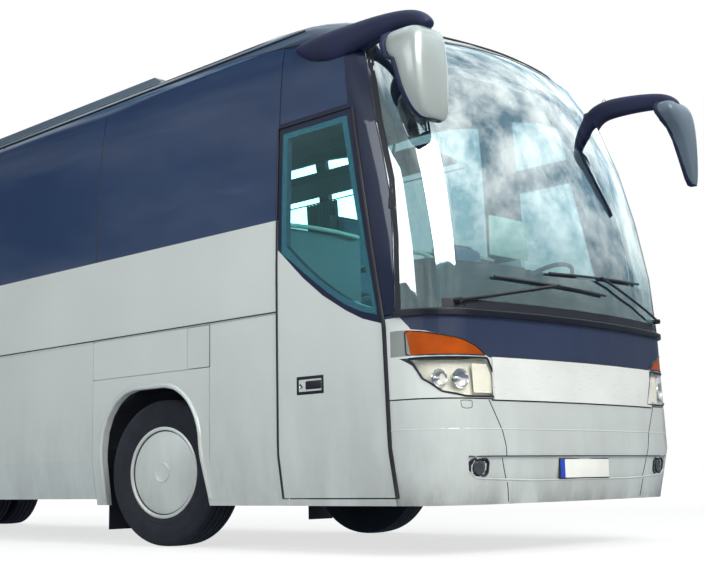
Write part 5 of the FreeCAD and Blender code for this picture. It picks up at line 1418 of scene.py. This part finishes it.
class COACH_OT_seats(bpy.types.Operator):
    """Passenger seats and the driver's seat, with their pads, shells and legs"""
    bl_idname = "coach.seats"
    bl_label = "Seats"

    def execute(self, context):
        cushion = padded_block("cushion_model", (-0.185, 0.020, 1.795), (0.185, 0.430, 1.862), 0.0, 0.030, 0.016)
        back = padded_block("back_model", (-0.180, 0.468, 1.895), (0.180, 0.525, 2.560), 0.128, 0.034, 0.014)
        cushion = settle(sewn(cushion, (0.14, 0.29), 1), "seat_fabric", smooth=60.0)
        back = settle(sewn(back, (2.02, 2.16, 2.30, 2.43), 2, 0.007, 0.014), "seat_fabric", smooth=60.0)
        shell = block("shell_model", (-0.192, 0.552, 1.800), (0.192, 0.566, 2.585), 0.005)
        for vertex in shell.data.vertices:
            vertex.co.y += 0.142 * (vertex.co.z - 1.80) / 0.785
        pan = block("pan_model", (-0.19, 0.030, 1.781), (0.19, 0.550, 1.795), 0.005)
        shell = settle(merged("shell_model", [shell, pan]), "cabin_grey")
        stand = self.build_stand()
        models = {"cushion": cushion, "back": back, "shell": shell}
        for row in range(SEAT_ROWS):
            front = aft(FIRST_SEAT) + SEAT_PITCH * row
            for side, side_name in SIDES:
                label = "%s_%d" % (side_name, row + 1)
                for seat, x in (("aisle", 0.555), ("window", 0.955)):
                    for kind, model in models.items():
                        name = "seat_%s_%s_%s" % (kind, seat, label)
                        self.place_part(model, name, kind, (side * x, front, 0), "passenger_seats")
                self.place_part(stand, "seat_stand_" + label, "stand", (0.745, front, 0), "passenger_seats", side < 0)
        self.build_driver_seat(models)
        for model in (*models.values(), stand):
            bpy.data.objects.remove(model)
        return {"FINISHED"}

    def build_driver_seat(self, models):
        """Driver's seat on its bellows and base."""
        x, start, drop = DRIVER_SEAT
        for kind, model in models.items():
            self.place_part(model, "driver_" + kind, kind, (x, aft(start), drop), "driver_seat")
        folds = []
        for index in range(9):
            grow = 0.012 if index % 2 else 0.0
            centre = Vector((x, aft(start) + 0.28, 1.075 + index * 0.038))
            folds.append(oval_ring(centre, Vector((1, 0, 0)), Vector((0, 1, 0)), 0.150 + grow, 0.165 + grow, 4.0, 32))
        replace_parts(settle(lofted("driver_seat_bellows", folds), "black_plastic"), "driver_seat")
        base = block("driver_seat_base", (x - 0.17, aft(start) + 0.09, 1.052), (x + 0.17, aft(start) + 0.47, 1.076),
                     0.004)
        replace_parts(settle(base, "frame_steel"), "driver_seat")

    def build_stand(self):
        """Legs, rails, feet and armrest of a left seat pair."""
        legs = []
        for x in (-0.28, 0.10):
            for foot, knee, head in ((0.13, 0.20, 0.22), (0.44, 0.38, 0.37)):
                legs.append(as_mesh(tube("leg", [(x, foot, 1.425), (x, knee, 1.60), (x, head, 1.775)], 0.016)))
        legs += [block("rail", (-0.40, y, 1.752), (0.40, y + 0.03, 1.782), 0.004) for y in (0.205, 0.355)]
        legs += [block("foot", (x - 0.025, 0.09, 1.418), (x + 0.025, 0.48, 1.430), 0.003) for x in (-0.28, 0.10)]
        legs.append(block("arm", (-0.447, 0.13, 2.045), (-0.405, 0.50, 2.083), 0.012, 3))
        legs.append(block("post", (-0.440, 0.40, 1.78), (-0.412, 0.44, 2.05), 0.006))
        return settle(merged("stand_model", legs), "cabin_dark")

    def place_part(self, model, name, kind, move, replaced, mirrored=False):
        """Copy of a seat's model at its place; cushions and backs are padded."""
        change = Matrix.Translation(move)
        piece = copied(model, name, ACROSS @ change if mirrored else change)
        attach(piece, "coach_body")
        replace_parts(piece, replaced)


# ---------------------------------------------------------------- curtains

# height and distance from the middle of the side wall's inner face
WALL_LEAN = [(1.9, 1.222), (2.2, 1.213), (2.6, 1.197), (2.95, 1.177), (3.1, 1.160)]
CURTAIN_LOW, CURTAIN_HIGH, CURTAIN_DEPTH = 2.215, 2.945, 0.015
# y of both ends of the curtains
LEFT_CURTAINS = ((-2.68, -2.28), (-0.95, -0.73), (0.69, 0.91), (2.33, 2.55))
RIGHT_CURTAINS = ((-2.59, -2.37), (-0.95, -0.73), (0.69, 0.91), (2.33, 2.55))


def wall_lean(height):
    """How far the side wall's inner face is from the middle at a height."""
    for (low, near), (high, far) in zip(WALL_LEAN, WALL_LEAN[1:]):
        if height <= high:
            return near + (far - near) * (height - low) / (high - low)
    return WALL_LEAN[-1][1]


def pleated(name, start, end, folds, side):
    """Gathered curtain, and the flat width that it was cut to."""
    columns, rows = folds * 10, 10
    middle = (start + end) / 2
    points = []
    for share in (row / rows for row in range(rows + 1)):
        height = CURTAIN_HIGH + (CURTAIN_LOW - CURTAIN_HIGH) * share
        # pinched at the tie, two thirds of the way down
        pinch = 1.0 - 0.42 * math.exp(-((share - 0.68) / 0.16) ** 2)
        for column in range(columns + 1):
            along = column / columns
            y = middle + (start + (end - start) * along - middle) * pinch
            swing = math.sin(along * folds * 2 * math.pi + 0.4 * math.sin(3 * share + column * 0.05))
            x = wall_lean(height) - 0.030 + swing * CURTAIN_DEPTH * (0.8 + 0.2 * share)
            points.append((side * x, y, height))
    piece = new_mesh(name, points, [], grid_faces(rows, columns))
    return piece, sum(face.area for face in piece.data.polygons) / (CURTAIN_HIGH - CURTAIN_LOW)


class COACH_OT_curtains(bpy.types.Operator):
    """Gathered curtains by the window pillars, with their rails"""
    bl_idname = "coach.curtains"
    bl_label = "Curtains"

    def execute(self, context):
        for side, side_name, places in ((1, "left", LEFT_CURTAINS), (-1, "right", RIGHT_CURTAINS)):
            for index, (start, end) in enumerate(places):
                name = "curtain_%s_%d" % (side_name, index + 1)
                piece, width = pleated(name, start, end, 6 if end - start < 0.3 else 9, side)
                piece = settle(piece, "curtain_cloth", smooth=60.0)
            rail = [(side * 1.147, aft(place), 2.952) for place in (-1.0, 3.5, 8.6)]
            settle(tube("curtain_rail_" + side_name, rail, 0.006), "bright_metal")
        return {"FINISHED"}


# ---------------------------------------------------------------- cabin

DIAL = [(0.0, 0.052), (0.008, 0.053), (0.012, 0.050), (0.008, 0.047), (0.003, 0.046), (0.002, 0.0)]
STEERING_BOSS = [(-0.035, 0.0), (-0.035, 0.045), (-0.012, 0.062), (0.006, 0.060), (0.014, 0.045), (0.017, 0.0)]
HANDRAILS = {
    "entry_front": [(-0.36, -5.30, 1.76), (-0.37, -5.10, 1.95), (-0.37, -4.80, 1.98), (-0.36, -4.62, 1.90),
                    (-0.36, -4.60, 1.46)],
    "partition_right": [(-0.40, -4.46, 2.135), (-0.75, -4.46, 2.165), (-1.12, -4.46, 2.135)],
    "partition_left": [(0.40, -4.46, 2.135), (0.75, -4.46, 2.165), (1.12, -4.46, 2.135)],
}


class COACH_OT_cabin(bpy.types.Operator):
    """Fittings at the driver's place: binnacle, inside mirror, shelf, card, blind, rails and steering wheel boss"""
    bl_idname = "coach.cabin"
    bl_label = "Cabin fittings"

    def execute(self, context):
        # binnacle hood over the dials
        hood = [(0.62 + math.cos(turn) * 0.24, -5.50 + step * 0.05, 1.735 + math.sin(turn) * 0.105 - step * 0.010)
                for turn in (math.pi * index / 12 for index in range(13)) for step in range(4)]
        settle(thickened("dial_hood", hood, grid_faces(12, 3), 0.012), "cabin_dark")
        for label, x in (("speed", 0.54), ("engine", 0.70)):
            settle(spun("dial_" + label, DIAL, (x, -5.455, 1.785), (0, 1, 0.25), 36), "cabin_grey")
        # inside mirror by the driver, on a curved stem
        place = Vector((1.12, -5.34, 2.72))
        ring = oval_ring(place, Vector((0.80, -0.12, -0.58)).normalized(), Vector((0.30, 0.10, 0.95)).normalized(),
                         0.155, 0.085, 2.6, 36)
        back = [point + Vector((-0.01, -0.028, 0)) for point in ring]
        face = [place + (point - place) * 0.90 + Vector((0.001, 0.004, 0)) for point in ring]
        settle(lofted("inside_mirror_shell", [back, ring]), "black_plastic")
        settle(lofted("inside_mirror_glass", [ring, face]), "mirror_face")
        stem = [(1.185, -5.36, 3.02), (1.19, -5.37, 2.90), (1.15, -5.362, 2.79), (1.12, -5.355, 2.73)]
        settle(tube("inside_mirror_stem", stem, 0.011), "black_plastic")
        # shelf behind the windscreen foot on the door side, with its top sloping to the glass; it is put there in near
        # black as painted shade for the foot of the windscreen
        shelf = []
        for x in (-1.10, -0.95, -0.75, -0.55, -0.365):
            front = nose_hit(("windscreen",), x, 1.60)[0].y + 0.09
            section = ((front, 1.42), (front + 0.02, 1.70), (front + 0.05, 1.735), (-5.53, 1.745), (-5.50, 1.72),
                       (-5.50, 1.42))
            shelf.append([Vector((x, y, z)) for y, z in section])
        settle(lofted("door_side_shelf", shelf), "cabin_dark", smooth=50.0)
        # blank white card standing behind the windscreen foot, and a rolled blind behind its top
        card = block("screen_card", (-0.62, -5.81, 1.80), (-0.24, -5.806, 2.05), 0.001)
        settle(card, "cream_shell")
        blind = tube("blind_roll", [(-0.55, -5.33, 3.19), (0.0, -5.35, 3.20), (0.95, -5.28, 3.17)], 0.028, sides=5)
        settle(blind, "cabin_grey")
        for label, route in HANDRAILS.items():
            settle(tube("rail_" + label, route, 0.015, sides=4), "cream_shell")
        boss = spun("steering_boss", STEERING_BOSS, (0.62, -5.30, 1.80), (0, 0.5, 0.866025), 36)
        settle(boss, "black_plastic", body="steering_wheel")
        return {"FINISHED"}


# ---------------------------------------------------------------- roof and tail

HATCHES = ((-3.96, -3.28), (3.82, 4.50))
FAN = [(-0.024, 0.27), (0.001, 0.268), (0.004, 0.255), (0.001, 0.245), (-0.003, 0.242)]
FAN_X = (-0.42, 0.42)
SLAT_GAP = 0.043


class COACH_OT_roof_top(bpy.types.Operator):
    """Drip rails, hatch seals and the grilles of the roof unit"""
    bl_idname = "coach.roof_top"
    bl_label = "Roof pieces"

    def execute(self, context):
        for label, height, radius in (("drip", 3.405, 0.006), ("cove", 3.455, 0.004)):
            marks = [(aft(-1.55 + 0.4 * index), height) for index in range(27)]
            piece = seam("roof_%s_right" % label, side_hit, marks, None, 0.002,
                         ("roof", "side_glass_right", "side_panel_right"), radius)
            place_twin(piece, "roof_%s_left" % label)
        for index, (low, high) in enumerate(HATCHES):
            loop = [top_hit(("roof",), x * 1.01, y)[0] + Vector((0, 0, 0.004))
                    for x, y in ((-0.38, low), (0.38, low), (0.38, high), (-0.38, high))]
            settle(tube("hatch_seal_%d" % (index + 1), loop, 0.008, cyclic=True, smooth=False), "rubber_seal")
            middle = (low + high) / 2
            knob = block("hatch_knob_%d" % (index + 1), (-0.05, middle - 0.02, 3.622), (0.05, middle + 0.02, 3.632),
                         0.004)
            settle(knob, "black_plastic")
        for index in range(3):
            centre = top_hit(("air_conditioning_unit",), 0, -2.25 + index * 0.95)[0]
            rims = [spun("fan", FAN, centre + Vector((x, 0, -0.006)), (0, 0, 1), 40) for x in FAN_X]
            for x in FAN_X:
                for slat in range(-5, 6):
                    across_y = slat * SLAT_GAP
                    half, y = math.sqrt(max(0.0, 0.245 ** 2 - across_y ** 2)), centre.y + across_y
                    rims.append(block("slat", (x - half, y - 0.006, centre.z - 0.009),
                                      (x + half, y + 0.006, centre.z - 0.0015), 0.0015))
            settle(merged("roof_unit_grille_%d" % (index + 1), rims), "black_plastic")
        return {"FINISHED"}


# foot and head of each lamp at the tail, and the finish of its round lens
TAIL_LAMPS = {"stop": (1.27, 1.45, None), "turn": (1.09, 1.24, "amber_lens"), "reverse": (0.93, 1.06, "lamp_glass")}
TAIL_BOWL = [(-0.004, 0.052), (0.003, 0.052), (0.007, 0.046), (0.009, 0.025), (0.0095, 0.0)]
REAR_WINDOW = [(-0.98, 2.27), (0.98, 2.27), (0.98, 3.13), (-0.98, 3.13)]
EXHAUST = [(0.0, 0.0), (0.0, 0.040), (0.20, 0.040), (0.20, 0.035), (0.02, 0.034), (0.02, 0.0)]


class COACH_OT_tail(bpy.types.Operator):
    """Lamp rims, louvres, window seal, exhaust and lines of the tail"""
    bl_idname = "coach.tail"
    bl_label = "Tail pieces"

    def execute(self, context):
        seam("rear_window_seal", tail_hit, REAR_WINDOW, 0.14, 0.001, ("rear_window", "rear_panel"), 0.011, loop=True)
        for index in range(9):
            marks = [(x / 10, 0.86 + index * 0.052) for x in range(-6, 7, 2)]
            seam("lid_louvre_%d" % (index + 1), tail_hit, marks, None, -0.0075, ("engine_lid",), 0.008,
                 "black_plastic", "silver_paint", "engine_lid")
        grip = [(-0.12, 0.775), (0.0, 0.775), (0.12, 0.775)]
        seam("lid_grip", tail_hit, grip, None, -0.0125, ("engine_lid",), 0.012, "black_plastic", None, "engine_lid",
             sides=4)
        for sign, side_name in SIDES:
            left, right = sign * 1.075 - 0.062, sign * 1.075 + 0.062
            for label, (low, high, material) in TAIL_LAMPS.items():
                corners = [(left, low), (right, low), (right, high), (left, high)]
                seam("tail_%s_rim_%s" % (label, side_name), tail_hit, corners, 0.03, 0.002, ("tail_lamps",), 0.004,
                     "black_plastic", "red_lens", loop=True)
                if material:
                    place = tail_hit(("tail_lamps",), sign * 1.075, (low + high) / 2)[0]
                    settle(spun("tail_%s_lens_%s" % (label, side_name), TAIL_BOWL, place, (0, 1, 0), 36), material)
        line = [(x / 10, 0.715) for x in range(-10, 11, 2)]
        seam("rear_bumper_line", tail_hit, line, None, -0.0055, ("rear_panel",), 0.004)
        pipe = spun("exhaust_tip", EXHAUST, (0.80, 5.90, 0.285), (0, 1, 0), 32)
        settle(pipe, "bright_metal")
        settle(block("exhaust_hanger", (0.785, 5.97, 0.320), (0.815, 6.00, 0.42), 0.003), "frame_steel")
        return {"FINISHED"}


# ---------------------------------------------------------------- stage

def stage_world(scene):
    """Even light for the coach, a cloudy sky in its reflections and white behind it."""
    scene.world = bpy.data.worlds.new("soft_studio")
    scene.world.use_nodes = True
    tree = scene.world.node_tree
    tree.nodes.clear()
    sky = node(tree, "ShaderNodeTexCoord").outputs["Generated"]
    cloud = ramp_between(tree, noise(tree, sky, 3.4, 7.0, 0.62, (1.0, 1.0, 1.8)), 0.40, 0.62)
    tone = mixed(tree, cloud, (0.07, 0.15, 0.22, 1), (0.92, 1.0, 1.0, 1))
    # the sky is dark near the horizon and on the door side, and bright overhead
    x, _, z = split_axes(tree, sky)
    above = ramp_between(tree, maths(tree, "ADD", z, maths(tree, "MULTIPLY", x, 0.3)), 0.43, 0.66, 0.14, 2.5)
    beside = ramp_between(tree, x, -0.60, -0.35, 0.27, 0.14)
    mirrored = light_source(tree, "ShaderNodeBackground", tone, maths(tree, "MAXIMUM", above, beside))
    soft = light_source(tree, "ShaderNodeBackground", (0.95, 0.98, 1.0, 1), 0.55)
    plain = light_source(tree, "ShaderNodeBackground", (1, 1, 1, 1), 1.0)
    path = node(tree, "ShaderNodeLightPath").outputs
    seen = maths(tree, "MAXIMUM", path["Is Camera Ray"], path["Is Transmission Ray"])
    lit = mixed_shaders(tree, path["Is Glossy Ray"], soft, mirrored)
    feed_all(tree, node(tree, "ShaderNodeOutputWorld"), Surface=mixed_shaders(tree, seen, lit, plain))


def stage_floor():
    clear_selection()
    bpy.ops.mesh.primitive_plane_add(size=160, location=(0, 0, 0))
    floor = bpy.context.view_layer.objects.active
    floor.name = "studio_floor"
    material = bpy.data.materials.new("studio_floor")
    material.use_nodes = True
    tree = material.node_tree
    shader = feed_all(tree, tree.nodes["Principled BSDF"], Base_Color=(0.86, 0.86, 0.86, 1), Roughness=0.9)
    glow = light_source(tree, "ShaderNodeEmission", (1, 1, 1, 1), 1.12)
    # reflections show the ground as darker than it is
    ground = light_source(tree, "ShaderNodeEmission", (0.40, 0.55, 0.76, 1), 0.30)
    path = node(tree, "ShaderNodeLightPath").outputs
    reach = node(tree, "ShaderNodeVectorMath", operation="LENGTH")
    link(tree, node(tree, "ShaderNodeTexCoord").outputs["Object"], reach.inputs[0])
    far = ramp_between(tree, reach.outputs["Value"], 7.5, 15.0, 0.63, 1.0)
    share = maths(tree, "MULTIPLY", path["Is Camera Ray"], far)
    seen = mixed_shaders(tree, share, shader.outputs["BSDF"], glow)
    surface = mixed_shaders(tree, path["Is Glossy Ray"], seen, ground)
    feed_all(tree, tree.nodes["Material Output"], Surface=surface)
    floor.data.materials.append(material)


def stage_lamp(name, place, target, size, power, colour=(1, 1, 1)):
    data = bpy.data.lights.new(name, "AREA")
    data.shape = "RECTANGLE"
    data.size, data.size_y = size
    data.energy = power
    data.color = colour
    lamp = bpy.data.objects.new(name, data)
    bpy.context.scene.collection.objects.link(lamp)
    lamp.location = place
    lamp.rotation_euler = (Vector(target) - Vector(place)).to_track_quat("-Z", "Y").to_euler()


def stage_camera(scene):
    """Camera at the place, turn, tilt and roll solved from the photo."""
    data = bpy.data.cameras.new("photo_camera")
    data.lens = CAMERA_LENS
    data.sensor_width = 36.0
    data.clip_end = 200.0
    camera = bpy.data.objects.new("photo_camera", data)
    scene.collection.objects.link(camera)
    az, el, roll = CAMERA_AZIMUTH, CAMERA_ELEVATION, CAMERA_ROLL
    ahead = Vector((-math.sin(az) * math.cos(el), math.cos(az) * math.cos(el), math.sin(el)))
    level = Vector((math.cos(az), math.sin(az), 0))
    up = level.cross(ahead)
    right = level * math.cos(roll) + up * math.sin(roll)
    top = up * math.cos(roll) - level * math.sin(roll)
    camera.matrix_world = Matrix.Translation(CAMERA_PLACE) @ Matrix((right, top, -ahead)).transposed().to_4x4()
    scene.camera = camera


class COACH_OT_stage(bpy.types.Operator):
    """Set up the camera, the floor and the soft studio light"""
    bl_idname = "coach.stage"
    bl_label = "Stage"

    def execute(self, context):
        context.scene.view_settings.view_transform = "Standard"
        stage_camera(context.scene)
        stage_world(context.scene)
        stage_floor()
        stage_lamp("key_lamp", (-3, -16, 9), (0, -4, 1.5), (9, 6), 1500, (1.0, 0.99, 0.97))
        stage_lamp("side_lamp", (-14, -2, 7), (-1, -1, 1.5), (12, 5), 600, (0.94, 0.98, 1.0))
        stage_lamp("back_lamp", (10, 12, 9), (0, 3, 1.5), (9, 6), 700)
        return {"FINISHED"}


class COACH_PT_panel(bpy.types.Panel):
    """Buttons for the coach's pieces"""
    bl_idname = "COACH_PT_panel"
    bl_label = "Coach"
    bl_space_type = "VIEW_3D"
    bl_region_type = "UI"
    bl_category = "Coach"

    def draw(self, context):
        for name in ("silver", "navy", "cove", "amber", "fabric"):
            self.layout.prop(context.scene.coach_paint, name)
        for name in ("seal_radius", "lip_radius", "groove_depth"):
            self.layout.prop(context.scene.coach_sizes, name)
        for step in STEPS:
            self.layout.operator(step.bl_idname)


STEPS = [COACH_OT_stage, COACH_OT_finishes, COACH_OT_skins, COACH_OT_nose_lines, COACH_OT_headlamps, COACH_OT_plates,
         COACH_OT_side_lines, COACH_OT_door_handle, COACH_OT_arches, COACH_OT_mirrors, COACH_OT_tyres,
         COACH_OT_rear_wheels, COACH_OT_screen_band, COACH_OT_seats, COACH_OT_curtains, COACH_OT_cabin,
         COACH_OT_roof_top, COACH_OT_tail]
CLASSES = [CoachPaint, CoachSizes, COACH_PT_panel] + STEPS


def register():
    for kind in CLASSES:
        bpy.utils.register_class(kind)
    bpy.types.Scene.coach_paint = bpy.props.PointerProperty(type=CoachPaint)
    bpy.types.Scene.coach_sizes = bpy.props.PointerProperty(type=CoachSizes)


def unregister():
    del bpy.types.Scene.coach_sizes
    del bpy.types.Scene.coach_paint
    for kind in reversed(CLASSES):
        bpy.utils.unregister_class(kind)


def main():
    register()
    for step in STEPS:
        area, call = step.bl_idname.split(".")
        getattr(getattr(bpy.ops, area), call)()


if __name__ == "__main__":
    main()
